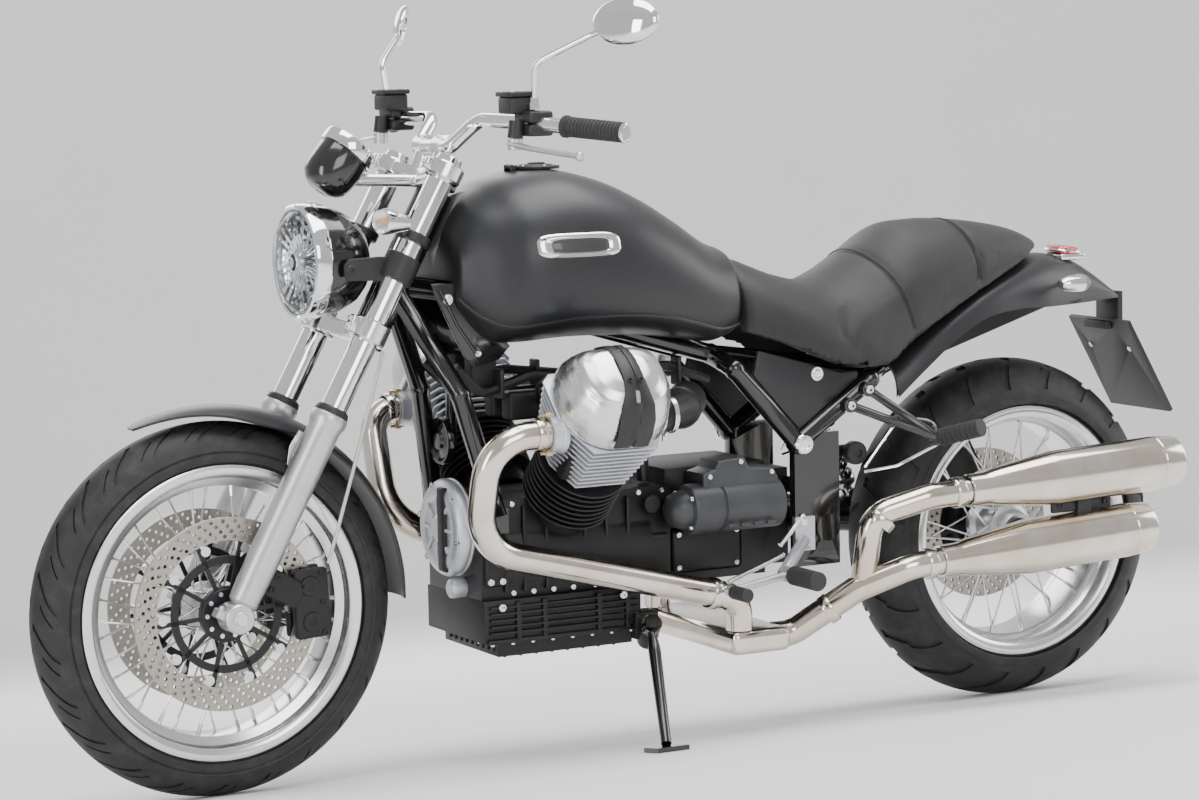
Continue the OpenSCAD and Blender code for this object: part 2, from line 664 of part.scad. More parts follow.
module silencers() place() color("#cfcabd") {
    silencer(lower_front, lower_rear);
    silencer(upper_front, upper_rear);
}

// ---- bodywork ----
// Half width and the heights of the top and of the belly at stations along the tank
tank_stations = [
    [612, 118, 864, 716], [664, 140, 884, 702], [733, 162, 929, 712], [800, 178, 968, 722],
    [870, 188, 998, 727], [956, tank_half, tank_top, 728], [1040, 182, 1006, 724], [1086, 160, 986, 728],
    [1124, 128, 962, 752], [1156, 98, 918, 796]];

function tank_ring(s, wall) =
    let (mid = s[3] + (s[2] - s[3]) * 0.42)
    [for (k = [0:17])
        let (a = 20 * k)
        let (c = cos(a), n = sin(a))
        let (shape = n > 0 ? 0.82 : 0.62)
        [s[0], (s[1] - wall) * sign(c) * pow(abs(c), shape),
         mid + (n > 0 ? s[2] - wall - mid : mid - s[3] - wall) * sign(n) * pow(abs(n), n > 0 ? 0.9 : 0.75)]];

last_station = len(tank_stations) - 1;
// The hollow along the tank's belly that sits over the frame's spine, and round the steering head
module tank_tunnel(grow) {
    translate([500, -81 - grow, 640]) cube([700, 162 + 2 * grow, 202 + grow]);
    at_fork() translate([-yoke_offset, 0, head_low]) cylinder(h = 360, r = 44 + grow);
}

lid_at = [956, 0, 1016];
neck_r = 24;
lid_hinge = [lid_at.x + 49, 0, tank_top + 3.5];
module fuel_tank() place() color("#26272a") difference() {
    union() {
        difference() {
            loft([for (s = tank_stations) tank_ring(s, 0)]);
            difference() {
                loft([for (i = [0:last_station])
                    let (s = tank_stations[i])
                    tank_ring([s[0] + (i == 0 ? 5 : i == last_station ? -5 : 0), s[1], s[2], s[3]], 5)]);
                tank_tunnel(5);
            }
        }
        translate([lid_at.x, 0, tank_top - 56]) cylinder(h = 55, r = neck_r + 5);
        both_sides() rod([lid_hinge.x, 9.3, lid_hinge.z], [lid_hinge.x, 16, lid_hinge.z], 4.5);
        both_sides() translate([lid_hinge.x - 4, 9.3, tank_top - 12]) cube([8, 6.7, 15]);
    }
    translate([lid_at.x, 0, tank_top - 50]) cylinder(h = 80, r = neck_r);
    tank_tunnel(0);
    translate([lid_at.x, 0, tank_top - 1.5]) cylinder(h = 20, r = 44);
}

module fuel_lid() place() color("#3a3b3d") {
    translate([lid_at.x, 0, tank_top - 1.2]) cylinder(h = 6, r = 42);
    translate([lid_at.x, 0, tank_top + 4.7]) cylinder(h = 2, r = 30);
    translate([lid_at.x + 34, -9, tank_top]) cube([12, 18, 4.8]);
    rod([lid_hinge.x, -9, lid_hinge.z], [lid_hinge.x, 9, lid_hinge.z], 4.5);
}

module side_scoops() place() color("#1a1b1d") both_sides()
    translate([0, 80.7, 0]) rotate([90, 0, 0]) linear_extrude(8)
        polygon([[1196, 834], [1176, 790], [1136, 706], [1118, 690], [1072, 700], [1050, 722], [1092, 760],
            [1112, 812], [1140, 834]]);

// Half width, height of the top and height of the side edge at stations along the seat
seat_stations = [
    [611.6, 118, 856, 722], [560, 140, 832, 706], [500, 150, 808, 680], [430, seat_half, seat_low, 652],
    [380, 151, 810, 645], [321, 146, 846, 652], [257, 138, 886, 692], [200, 130, 894, 724], [148, 122, 895, 752],
    [70, 104, 889, 786], [-7, 80, 876, 816], [-60, 46, 856, 838]];
seat_thick = 46;
flank = 18;
function seat_ring(s) = concat(
    [for (k = [0:8]) let (a = 22.5 * k)
        [s[0], s[1] * cos(a), s[3] + (s[2] - s[3]) * pow(sin(a), 0.62)]],
    [for (k = [8:-1:0]) let (a = 22.5 * k)
        let (h = max(s[2] - s[3] - seat_thick, 6))
        [s[0], (s[1] - flank) * cos(a), s[3] + h * pow(sin(a), 0.62)]]);

module rider_saddle() place() color("#1d1d1e") arched_strip([for (s = seat_stations) seat_ring(s)]);

// Half width, height of the ridge and height of the lower edge at stations along the tail
tail_stations = [
    [300, 122, 674, 586], [246, 126, 712, 632], [174, 124, 754, 684], [101, 116, 788, 718],
    [24, 102, 816, 728], [-60, 84, 830, 727], [-140, 58, 820, 727], [-200, 44, 790, 729], [-250, 36, 752, 731]];
tail_wall = 6;
function tail_ring(s) = concat(
    [for (k = [0:8]) let (a = 22.5 * k)
        [s[0], s[1] * cos(a), s[3] + (s[2] - s[3] - 8) * pow(sin(a), 0.7)]],
    [for (k = [8:-1:0]) let (a = 22.5 * k)
        [s[0], (s[1] - tail_wall) * cos(a), s[3] + (s[2] - s[3] - 8 - tail_wall) * pow(sin(a), 0.7)]]);

module tail_fairing() place() color("#26272a") arched_strip([for (s = tail_stations) tail_ring(s)]);

module side_panels() place() color("#242528") both_sides()
    translate([0, 122, 0]) rotate([90, 0, 0]) linear_extrude(8)
        polygon([[507.3, 543], [600, 644.6], [588, 688], [500, 664], [420, 640], [384, 640], [384, 627.5]]);

module tail_lamps() place() {
    color("#b8241f") hull() {
        translate([-126, -40, 817.3]) cube([10, 80, 22]);
        translate([-180, -32, 805]) cube([10, 64, 22]);
    }
    color("#e6e6e4") both_sides() {
        strut([-90, 71.3, 768], [-92, 104, 770], 6);
        translate([-92, 116, 770]) rotate([0, -90, 0]) lamp_body(12, 20, 15);
    }
}

plate_top = [-232, 0, 690];
plate_low = [-332, 0, 516];
plate_down = unit(plate_low - plate_top);
plate_tilt = atan2(plate_top.x - plate_low.x, plate_top.z - plate_low.z);
module plate_holder() place() color("#1c1d1f") {
    translate(plate_low) rotate([0, plate_tilt, 0]) difference() {
        translate([-4, -92, 0]) cube([8, 184, norm(plate_low - plate_top)]);
        for (y = [-60, 60]) translate([-10, y, 140]) rotate([0, 90, 0]) cylinder(h = 20, r = 3);
    }
    translate([-262, -34, 684]) cube([11.7, 68, 58]);
    translate([-262, -34, 672]) cube([40, 68, 14]);
}

// ---- rear end ----
arm_y = -132;
module swingarm() place() color("#1b1c1e") difference() {
    union() {
        rod([pivot_at.x, -99.7, pivot_at.z], [pivot_at.x, 99.7, pivot_at.z], 28);
        rod([pivot_at.x - 34, -74, pivot_at.z - 4], [pivot_at.x - 70, arm_y, pivot_at.z - 8], 26);
        rod([pivot_at.x - 66, arm_y, pivot_at.z - 8], [80.5, arm_y, 322], 32);
        translate([pivot_at.x - 66, arm_y, pivot_at.z - 8]) sphere(r = 33.5);
    }
    translate([pivot_at.x - 34, -200, 300]) cube([100, 100, 150]);
}

module bevel_drive() place() at_rear_axle() color("#232426") {
    difference() {
        rotate([90, 0, 0]) translate([0, 0, 100]) cylinder(h = 62, r = 80, $fn = 64);
        rotate([90, 0, 0]) translate([0, 0, 150]) cylinder(h = 20, r = 40);
    }
    rotate([90, 0, 0]) translate([0, 0, 64]) cylinder(h = 40, r = 54);
    rotate([90, 0, 0]) translate([0, 0, -68]) cylinder(h = 180, r = rear_axle_r);
    rotate([90, 0, 0]) translate([0, 0, -84]) cylinder(h = 16, r = 22);
    rotate([0, -62, 0]) difference() {
        union() {
            translate([96, -92, -44]) cube([62, 50.5, 88]);
            translate([60, -104, -20]) cube([80, 14, 40]);
        }
        translate([0, rear_disc_y + 8, 0]) rotate([90, 0, 0]) cylinder(h = 16, r = rear_disc_r + 6, $fn = 96);
    }
}

module shock_absorber() place() color("#2a2b2d") {
    rod([250, -118, 381], [266, -118, 405], 13);
    rod([266, -118, 405], [344, -118, 541], 25);
    rod([344, -118, 541], [356, -118, 562], 12);
    rod([356, -104, 574], [356, -132, 574], 14);
}

// ---- footrests and stand ----
module rider_footrests() place() color("#9b9da0") both_sides() {
    translate([484, 122.3, 330]) cube([40, 10, 60]);
    rod([508, 134, 350], [574, 176, 304], 11);
    rod([574, 174, 302], [574, 286, 302], 14);
    rod([574, 190, 302], [700, 206, 286], 7);
    rod([700, 200, 286], [700, 262, 286], 9);
}

module passenger_footrests() place() color("#1b1c1e") both_sides() {
    rod([380, 145, 608.9], [262, 190, 518], 8);
    rod([418, 145, 582.9], [266, 188, 520], 8);
    rod([380, 135.8, 608.9], [380, 151, 608.9], 13);
    rod([418, 135.8, 582.9], [418, 151, 582.9], 13);
    rod([262, 174, 514], [222, 266, 540], 13);
}

stand_foot = [60, 155.6, -179.6];
stand_folded = [-238, 75, -10];
stand_axis = -unit(cross(unit(stand_folded), unit(stand_foot)));
stand_dir = unit(stand_foot);
module side_stand() place() color("#1f2022") {
    difference() {
        union() {
            rod(stand_at - stand_axis * 8, stand_at + stand_axis * 8, 18);
            rod(stand_at + stand_dir * 10, stand_at + stand_dir * 24, 7.7);
            rod(stand_at + stand_dir * 23.9, stand_at + stand_dir * 50, 7.7, 11);
            rod(stand_at + stand_dir * 49.9, stand_at + stand_dir * (stand_len - 8), 11, 9);
        }
        rod(stand_at - stand_axis * 30, stand_at + stand_axis * 30, 7.05);
    }
    translate(stand_at + stand_dir * stand_len) rotate([lean, 0, 0]) translate([-30, -26, -5]) cube([60, 50, 8]);
}

front_tyre();
front_rim();
front_hub();
front_spokes();
front_discs();
rear_tyre();
rear_rim();
rear_hub();
rear_spokes();
rear_disc();
front_axle();
fork_tubes();
fork_sliders();
lower_yoke();
upper_yoke();
handlebar();
handlebar_grips();
control_pods();
hand_levers();
mirrors();
headlamp();
headlamp_lens();
headlamp_bracket();
speedometer();
front_indicators();
front_fender();
front_calipers();
speedometer_cable();
frame();
engine_case();
engine_sump();
cylinder_barrels();
cylinder_heads();
rocker_covers();
alternator_cover();
starter_motor();
throttle_bodies();
exhaust_headers();
exhaust_collector();
silencers();
fuel_tank();
fuel_lid();
side_scoops();
rider_saddle();
tail_fairing();
side_panels();
tail_lamps();
plate_holder();
swingarm();
bevel_drive();
shock_absorber();
rider_footrests();
passenger_footrests();
side_stand();
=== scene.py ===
import json
import math

import bpy
import numpy as np
from mathutils import Matrix, Vector


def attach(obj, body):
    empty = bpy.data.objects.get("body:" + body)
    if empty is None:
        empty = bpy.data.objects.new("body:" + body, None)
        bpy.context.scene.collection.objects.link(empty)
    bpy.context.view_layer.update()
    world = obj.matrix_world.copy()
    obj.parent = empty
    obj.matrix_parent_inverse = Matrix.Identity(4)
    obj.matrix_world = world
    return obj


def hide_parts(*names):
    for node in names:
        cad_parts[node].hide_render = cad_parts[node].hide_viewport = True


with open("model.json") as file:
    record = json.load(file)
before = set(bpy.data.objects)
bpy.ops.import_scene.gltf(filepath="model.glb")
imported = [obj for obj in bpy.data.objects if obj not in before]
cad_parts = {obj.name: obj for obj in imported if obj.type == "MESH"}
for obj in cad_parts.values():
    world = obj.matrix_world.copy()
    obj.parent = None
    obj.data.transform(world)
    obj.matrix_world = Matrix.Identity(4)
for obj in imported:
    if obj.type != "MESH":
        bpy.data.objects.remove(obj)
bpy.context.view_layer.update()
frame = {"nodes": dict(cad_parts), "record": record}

# ---- The stance -----------------------------------------------------------------------------
# The motorcycle is worked on upright, in millimetres from the floor under its rear axle.
# Each finished mesh is then laid over 9 degrees to the left, onto the side stand.
lean = math.radians(9)
stance = Matrix.Translation((-0.773, -0.197, 0.001)) @ Matrix.Rotation(-lean, 4, "X")
millimetres = Matrix.Scale(0.001, 4)


# ---- Camera ---------------------------------------------------------------------------------
# A long lens, low and ahead on the left of the machine. It leans as the machine does, so that
# the machine is seen upright.
def look(eye, yaw, pitch, roll):
    ahead = Vector((math.cos(pitch) * math.cos(yaw), math.cos(pitch) * math.sin(yaw),
        math.sin(pitch)))
    right = ahead.cross(Vector((0, 0, 1))).normalized()
    up = right.cross(ahead)
    across = right * math.cos(roll) + up * math.sin(roll)
    above = up * math.cos(roll) - right * math.sin(roll)
    turn = Matrix((across, above, -ahead)).transposed().to_4x4()
    return stance @ Matrix.Translation(eye) @ turn


lens = bpy.data.cameras.new("studio_camera")
lens.lens = 100.85
lens.sensor_width = 36
lens.clip_end = 60
camera = bpy.data.objects.new("studio_camera", lens)
bpy.context.scene.collection.objects.link(camera)
camera.matrix_world = look((3.5751, 5.1299, 1.2521), -2.0607, -0.1103, -0.0188)
bpy.context.scene.camera = camera


# ---- Studio floor and wall ------------------------------------------------------------------
# A pale painted floor that curves up into a round wall, so that no edge shows behind the
# machine from any side. It is turned from one line, as a potter would.
def alone(obj):
    bpy.ops.object.select_all(action="DESELECT")
    obj.select_set(True)
    bpy.context.view_layer.objects.active = obj


def edit(obj, mode="VERT"):
    alone(obj)
    bpy.ops.object.mode_set(mode="EDIT")
    bpy.ops.mesh.select_mode(type=mode)
    bpy.ops.mesh.select_all(action="SELECT")


def leave():
    bpy.ops.object.mode_set(mode="OBJECT")
    return bpy.context.view_layer.objects.active


def lathe(name, line, steps=64, angle=2 * math.pi, closed=False):
    """A shape turned round Z from (radius, height) pairs."""
    mesh = bpy.data.meshes.new(name)
    edges = [(i, i + 1) for i in range(len(line) - 1)] + ([(len(line) - 1, 0)] if closed else [])
    mesh.from_pydata([(r, 0, z) for r, z in line], edges, [])
    obj = bpy.data.objects.new(name, mesh)
    bpy.context.scene.collection.objects.link(obj)
    edit(obj)
    bpy.ops.mesh.spin(steps=steps, angle=angle, center=(0, 0, 0), axis=(0, 0, 1))
    bpy.ops.mesh.select_all(action="SELECT")
    bpy.ops.mesh.remove_doubles(threshold=0.0005 * max(r for r, z in line))
    bpy.ops.mesh.normals_make_consistent(inside=False)
    return leave()


class Wire:
    """One socket of a finish. It adds, multiplies and compares as a number does."""

    def __init__(self, finish, socket):
        self.finish, self.socket = finish, socket

    def math(self, operation, *others, clamp=False):
        return self.finish.add("ShaderNodeMath", {"operation": operation, "use_clamp": clamp}, self,
            *others)

    def __add__(self, other): return self.math("ADD", other)
    __radd__ = __add__
    def __mul__(self, other): return self.math("MULTIPLY", other)
    __rmul__ = __mul__
    def __sub__(self, other): return self.math("SUBTRACT", other)
    def __rsub__(self, other): return self.finish.add("ShaderNodeMath", {"operation": "SUBTRACT"},
        other, self)
    def __truediv__(self, other): return self.math("DIVIDE", other)
    def __mod__(self, other): return self.math("FLOORED_MODULO", other)
    def __gt__(self, other): return self.math("GREATER_THAN", other)
    def __lt__(self, other): return self.math("LESS_THAN", other)
    def __abs__(self): return self.math("ABSOLUTE")

    def rise(self, low, high):
        """0 below low, 1 above high, smooth between them."""
        return self.finish.add("ShaderNodeMapRange", {"interpolation_type": "SMOOTHSTEP"}, self,
            low, high, 0.0, 1.0)


class Finish:
    """A material on a Principled shader, with constants on its own sockets."""

    def __init__(self, name, colour, **fixed):
        self.material = bpy.data.materials.new(name)
        self.material.use_nodes = True
        self.tree = self.material.node_tree
        self.shader = self.tree.nodes["Principled BSDF"]
        self.shader.inputs["Base Color"].default_value = (*colour, 1)
        for key, value in fixed.items():
            socket = self.shader.inputs[key.replace("_", " ")]
            socket.default_value = (*value, 1) if isinstance(value, tuple) else value

    def add(self, kind, settings, *inputs, out=0):
        node = self.tree.nodes.new(kind)
        for key, value in settings.items():
            setattr(node, key, value)
        sockets = [s for s in node.inputs if s.enabled]
        for socket, value in zip(sockets, inputs):
            if isinstance(value, Wire):
                self.tree.links.new(value.socket, socket)
            elif value is not None:
                socket.default_value = value
        return Wire(self, [s for s in node.outputs if s.enabled][out])

    def point(self, place=Matrix.Identity(4)):
        """Object coordinates, in metres, in the frame whose place is given."""
        back = place.inverted()
        spot = self.add("ShaderNodeTexCoord", {}, out=3)
        return self.add("ShaderNodeMapping", {}, spot, tuple(back.to_translation()),
            tuple(back.to_euler()))

    def split(self, point):
        parts = self.add("ShaderNodeSeparateXYZ", {}, point)
        outs = parts.socket.node.outputs
        return [Wire(self, s) for s in outs]

    def noise(self, scale, detail=4.0, rough=0.6, point=None, stretch=(1, 1, 1)):
        point = point or self.point()
        if stretch != (1, 1, 1):
            point = self.add("ShaderNodeVectorMath", {"operation": "MULTIPLY"}, point, stretch)
        return self.add("ShaderNodeTexNoise", {}, point, scale, detail, rough)

    def blend(self, share, first, second):
        def four(c): return c if isinstance(c, Wire) else (*c, 1)
        return self.add("ShaderNodeMix", {"data_type": "RGBA"}, share, four(first), four(second))

    def feed(self, **wires):
        for key, wire in wires.items():
            self.tree.links.new(wire.socket, self.shader.inputs[key.replace("_", " ")])
        return self

    def relief(self, height, distance, strength=1.0):
        bump = self.tree.nodes.new("ShaderNodeBump")
        bump.inputs["Strength"].default_value = strength
        bump.inputs["Distance"].default_value = distance
        self.tree.links.new(height.socket, bump.inputs["Height"])
        self.tree.links.new(bump.outputs[0], self.shader.inputs["Normal"])
        return self


studio = lathe("studio_floor", [(0, 0), (4, 0), (9, 0)] + [
    (9 + 3.5 * math.sin(math.radians(a)), 3.5 - 3.5 * math.cos(math.radians(a))) for a in range(6,
    91, 6)]
    + [(12.5, 6.5), (12.5, 10)], steps=96)
edit(studio)
bpy.ops.mesh.flip_normals()
leave()
bpy.ops.object.shade_smooth()
paint = Finish("floor_paint", (0.86, 0.85, 0.84), Roughness=0.62, Specular_IOR_Level=0.3)
paint.feed(Base_Color=paint.blend(paint.noise(1.3, 3.0), (0.85, 0.84, 0.83), (0.88, 0.875, 0.87)))
studio.data.materials.append(paint.material)

# ---- Studio light ---------------------------------------------------------------------------
# Four soft boxes: one wide one overhead, a tall one by the camera, a long strip low at the
# front, and one behind for the outline.
world = bpy.data.worlds.new("studio_air")
world.use_nodes = True
world.node_tree.nodes["Background"].inputs[0].default_value = (0.98, 0.98, 1.0, 1)
world.node_tree.nodes["Background"].inputs[1].default_value = 0.7
bpy.context.scene.world = world
for name, eye, aim, size, power in (
        ("overhead_box", (0.5, 0.2, 3.9), (0.6, 0.0, 0.5), (4.2, 2.2), 190),
        ("backdrop_box", (-0.8, -3.4, 3.8), (-3.4, -8.4, 0.0), (4.0, 3.0), 300),
        ("camera_box", (1.6, 5.0, 2.9), (0.7, 0.0, 0.6), (2.6, 2.4), 95),
        ("front_strip", (5.2, 1.6, 1.5), (0.9, 0.0, 0.6), (1.0, 2.6), 62),
        ("rear_box", (-3.4, 1.0, 2.0), (0.2, 0.0, 0.6), (1.6, 2.4), 58),
        ("far_box", (0.8, -4.6, 2.6), (0.7, 0.0, 0.4), (4.0, 2.0), 90)):
    box = bpy.data.lights.new(name, "AREA")
    box.shape, box.size, box.size_y, box.energy = "RECTANGLE", size[0], size[1], power
    lamp = bpy.data.objects.new(name, box)
    bpy.context.scene.collection.objects.link(lamp)
    way = (Vector(aim) - Vector(eye)).to_track_quat("-Z", "Y").to_matrix().to_4x4()
    lamp.matrix_world = stance @ Matrix.Translation(eye) @ way


# ---- Tyres ----------------------------------------------------------------------------------
# Two tubeless radials of black rubber, moulded. The front has slim swept grooves; the rear is
# wider, with deep shoulder blocks. The grooves are pressed into a rolled-up sheet.
def settle(obj, body, finish, slot, node=None, place=None, angle=32, name=None, laid=False):
    """Lays a finished mesh into the stance, smooths it, and gives it its finish and its body."""
    if not laid:
        obj.data.transform(stance @ millimetres @ (place or Matrix.Identity(4)) @ obj.matrix_basis)
        obj.matrix_basis = Matrix.Identity(4)
    obj.name = name or obj.name
    alone(obj)
    if angle:
        bpy.ops.object.shade_smooth_by_angle(angle=math.radians(angle))
    obj.data.materials.clear()
    obj.data.materials.append(finish.material)
    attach(obj, body)
    if node:
        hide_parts(*([node] if isinstance(node, str) else node))
    return obj


def moulded(name, columns, rows, spot, merge=0.05):
    """A sheet of columns by rows faces whose points are pressed to spot(u, v), u and v from 0 to 1."""
    bpy.ops.object.select_all(action="DESELECT")
    bpy.ops.mesh.primitive_grid_add(x_subdivisions=columns, y_subdivisions=rows, size=2,
        location=(0, 0, 0))
    obj = bpy.context.active_object
    obj.name = obj.data.name = name
    for v in obj.data.vertices:
        v.co = spot((v.co.x + 1) / 2, (v.co.y + 1) / 2)
    edit(obj)
    bpy.ops.mesh.remove_doubles(threshold=merge)
    bpy.ops.mesh.normals_make_consistent(inside=False)
    return leave()


def pick(obj, wanted, kind="FACE"):
    """Edit mode with only the faces or edges that wanted(item) is true for."""
    edit(obj, kind)
    bpy.ops.mesh.select_all(action="DESELECT")
    bpy.ops.object.mode_set(mode="OBJECT")
    items = obj.data.polygons if kind == "FACE" else obj.data.edges
    for item in items:
        item.select = bool(wanted(item))
    bpy.ops.object.mode_set(mode="EDIT")


def tyre(name, radius, half, crown, lip, bead, edge, pitches, grooved, sweep, depth):
    """Rolls the sheet round the wheel: rows run from bead to bead, columns round the tread."""
    arc = [math.radians(-edge + 2 * edge * i / 24) for i in range(25)]
    shoulder = radius - crown + crown * math.cos(arc[0])
    bulge = (shoulder + lip) / 2
    side = [(lip - 12, bead - 3), (lip - 2, bead), (lip + 3, bead + 2.2), (lip + 7, bead + 1.2),
            (bulge - 8, half - 2.6), (bulge - 6.6, half - 0.5), (bulge, half),
            (bulge + 6.6, half - 1.2),
            (bulge + 8, half - 3.2)]
    line = ([(r, -y) for r, y in side]
            + [(radius - crown + crown * math.cos(a), crown * math.sin(a)) for a in arc]
            + [(r, y) for r, y in reversed(side)])
    per = 8
    columns, rows = pitches * per, len(line) - 1
    shares = [0, 0.16, 0.33, 0.5, 0.62, 0.76, 0.80, 0.97]

    def spot(u, v):
        row, column = round(v * rows), round(u * columns)
        r, y = line[row]
        turn = (column // per + shares[column % per] + sweep * (1 - math.cos(math.pi * abs(y) / half / 1.1)) / 2)
        a = 2 * math.pi * turn / pitches
        return (r * math.cos(a), y, -r * math.sin(a))

    obj = moulded(name, columns, rows, spot, merge=0.02)

    def in_groove(face):
        x, y, z = face.center
        r = math.hypot(x, z)
        if r < shoulder - 3 or abs(y) > half:
            return False
        turn = (-math.atan2(z, x) / 2 / math.pi) * pitches - sweep * (1 - math.cos(math.pi * abs(y) / half / 1.1)) / 2
        return grooved(turn % 1, math.floor(turn) % 2, y / half, math.floor(turn) % pitches)

    pick(obj, in_groove)
    bpy.ops.mesh.extrude_region_shrink_fatten(TRANSFORM_OT_shrink_fatten={"value": -depth})
    return leave()


rubber = Finish("tyre_rubber", (0.022, 0.022, 0.023), Roughness=0.6, Specular_IOR_Level=0.42)
dust = rubber.noise(34.0, 5.0, 0.65)
film = rubber.noise(420.0, 2.0, 0.5)
rubber.feed(Base_Color=rubber.blend(dust.rise(0.4, 0.75), (0.012, 0.012, 0.013),
    (0.032, 0.031, 0.031)),
            Roughness=0.46 + dust * 0.26)
rubber.relief(film * 0.3 + dust, 0.0006, 0.5)


def front_groove(part, odd, across, pitch):
    swept = part > 0.78 and (0.1 < across < 0.86 if odd else -0.86 < across < -0.1)
    short = 0.5 < part < 0.62 and (0.44 < across < 0.8 if not odd else -0.8 < across < -0.44)
    return swept or short


def rear_groove(part, odd, across, pitch):
    swept = part > 0.6 and (0.05 < across < 0.93 if odd else -0.93 < across < -0.05)
    tie = 0.16 < part and (0.36 < across < 0.43 if odd else -0.43 < across < -0.36)
    sipe = part < 0.16 and (0.5 < across < 0.9 if not odd else -0.9 < across < -0.5)
    return swept or tie or sipe


front_wheel = Matrix.Translation((1570, 0, 312))
rear_wheel = Matrix.Translation((0, 0, 315))
settle(tyre("front_tyre_tread", 311.8, 59, 60, 245, 49, 74, 46, front_groove, 1.7, 3.2),
       "front_wheel", rubber, "tyre_rubber", "front_tyre", front_wheel)
settle(tyre("rear_tyre_tread", 314.8, 88.8, 90, 232, 75, 70, 40, rear_groove, 1.1, 4.5),
       "rear_wheel", rubber, "tyre_rubber", "rear_tyre", rear_wheel)


# ---- Rims -----------------------------------------------------------------------------------
# Rolled aluminium hoops, polished after rolling, with a dimple punched for each spoke nipple.
# The fine rings that the polishing wheel leaves run round the hoop.
def ringed(finish, place, scale):
    """Rings round the Y axis of a wheel, as a number from 0 to 1."""
    x, y, z = finish.split(finish.point(stance @ Matrix.Scale(1, 4) @ place))
    r = (x * x + z * z).math("SQRT")
    line = finish.add("ShaderNodeCombineXYZ", {}, r * scale, y * scale, 0.0)
    return finish.add("ShaderNodeTexNoise", {}, line, 1.0, 3.0, 0.7), r, x, y, z


def metres(place):
    spot, turn, size = place.decompose()
    return Matrix.Translation(spot * 0.001) @ turn.to_matrix().to_4x4()


def rim(name, lip, bead, well, foot):
    line = [(lip - 0.5, bead + 5.5), (lip - 4, bead + 6.8), (lip - 9, bead + 7),
        (lip - 17, bead + 4),
            (lip - 20.5, bead + 1), (lip - 22.5, bead - 8), (lip - 23, bead - 16),
            (well - 6, foot + 9),
            (well - 7, foot + 3), (well - 7, 0)]
    inner = [(well - 1, 0), (well, foot), (lip - 17, bead - 19), (lip - 14, bead), (lip, bead + 2)]
    half = line + inner
    full = line + [(r, -y) for r, y in reversed(line[:-1])] + [(r, -y) for r,
        y in reversed(inner[1:])] + inner[1:]
    return lathe(name, full, steps=128, closed=True)


about_y = Matrix.Rotation(math.radians(-90), 4, "X")
polished = {}
for label, place, sizes, body in (("front", front_wheel, (245, 49, 214, 18), "front_wheel"),
                                  ("rear", rear_wheel, (232, 75, 204, 34), "rear_wheel")):
    alloy = Finish(f"{label}_rim_alloy", (0.8, 0.81, 0.82), Metallic=1.0, Roughness=0.2)
    lines, r, x, y, z = ringed(alloy, metres(place), 900.0)
    alloy.feed(Base_Color=alloy.blend(lines, (0.66, 0.67, 0.69), (0.86, 0.865, 0.875)),
        Roughness=0.13 + lines * 0.16)
    alloy.relief(lines, 0.00012, 0.5)
    polished[label] = alloy
    settle(rim(f"{label}_rim_hoop", *sizes), body, alloy, "polished_aluminium", f"{label}_rim",
        place @ about_y, 28)


# ---- Spokes and nipples ---------------------------------------------------------------------
# Thirty-six stainless wires a wheel, crossed in pairs between hub and rim. Each screws into a
# plated nipple that is drawn through the rim's well.
def rod(a, b, r, sides=16, r2=None, name="rod"):
    a, b = Vector(a), Vector(b)
    bpy.ops.object.select_all(action="DESELECT")
    bpy.ops.mesh.primitive_cone_add(vertices=sides, radius1=r, radius2=r if r2 is None else r2,
        depth=(b - a).length)
    obj = bpy.context.active_object
    obj.name = obj.data.name = name
    turn = (b - a).to_track_quat("Z", "Y").to_matrix().to_4x4()
    obj.data.transform(Matrix.Translation((a + b) / 2) @ turn)
    return obj


def joined(name, parts):
    bpy.ops.object.select_all(action="DESELECT")
    for part in parts:
        part.select_set(True)
    bpy.context.view_layer.objects.active = parts[0]
    if len(parts) > 1:
        bpy.ops.object.join()
    obj = bpy.context.active_object
    obj.name = obj.data.name = name
    return obj


wire = Finish("spoke_steel", (0.72, 0.73, 0.74), Metallic=1.0, Roughness=0.22)
wire.feed(Roughness=0.14 + wire.noise(260.0, 3.0) * 0.2,
          Base_Color=wire.blend(wire.noise(90.0), (0.62, 0.63, 0.65), (0.82, 0.83, 0.84)))


def spokes(label, hub, well, inner, outer, foot, body, place):
    wires, nipples = [], []
    for i in range(36):
        side = 1 if i % 2 == 0 else -1
        lead = 1 if i % 4 < 2 else -1
        at_rim = math.radians(10 * i)
        at_hub = at_rim - lead * math.radians(32)
        y = side * (inner if lead > 0 else outer)
        a = Vector((hub * math.cos(at_hub), y, hub * math.sin(at_hub)))
        b = Vector(((well - 7.5) * math.cos(at_rim), side * foot, (well - 7.5) * math.sin(at_rim)))
        way = (b - a).normalized()
        wires.append(rod(a - way * 3, b, 1.9, 8))
        wires.append(rod(a - way * 6, a - way * 2.5, 3.4, 8, 2.2))
        nipples.append(rod(b - way * 17, b + way * 1, 2.9, 6, 3.5))
    settle(joined(f"{label}_spoke_wires", wires), body, wire, "spoke_steel", f"{label}_spokes",
        place)
    settle(joined(f"{label}_spoke_nipples", nipples), body, wire, "spoke_steel", None, place)


spokes("front", 43.8, 214, 29, 36, 9, "front_wheel", front_wheel)
spokes("rear", 47.8, 204, 30, 37, 22, "rear_wheel", rear_wheel)

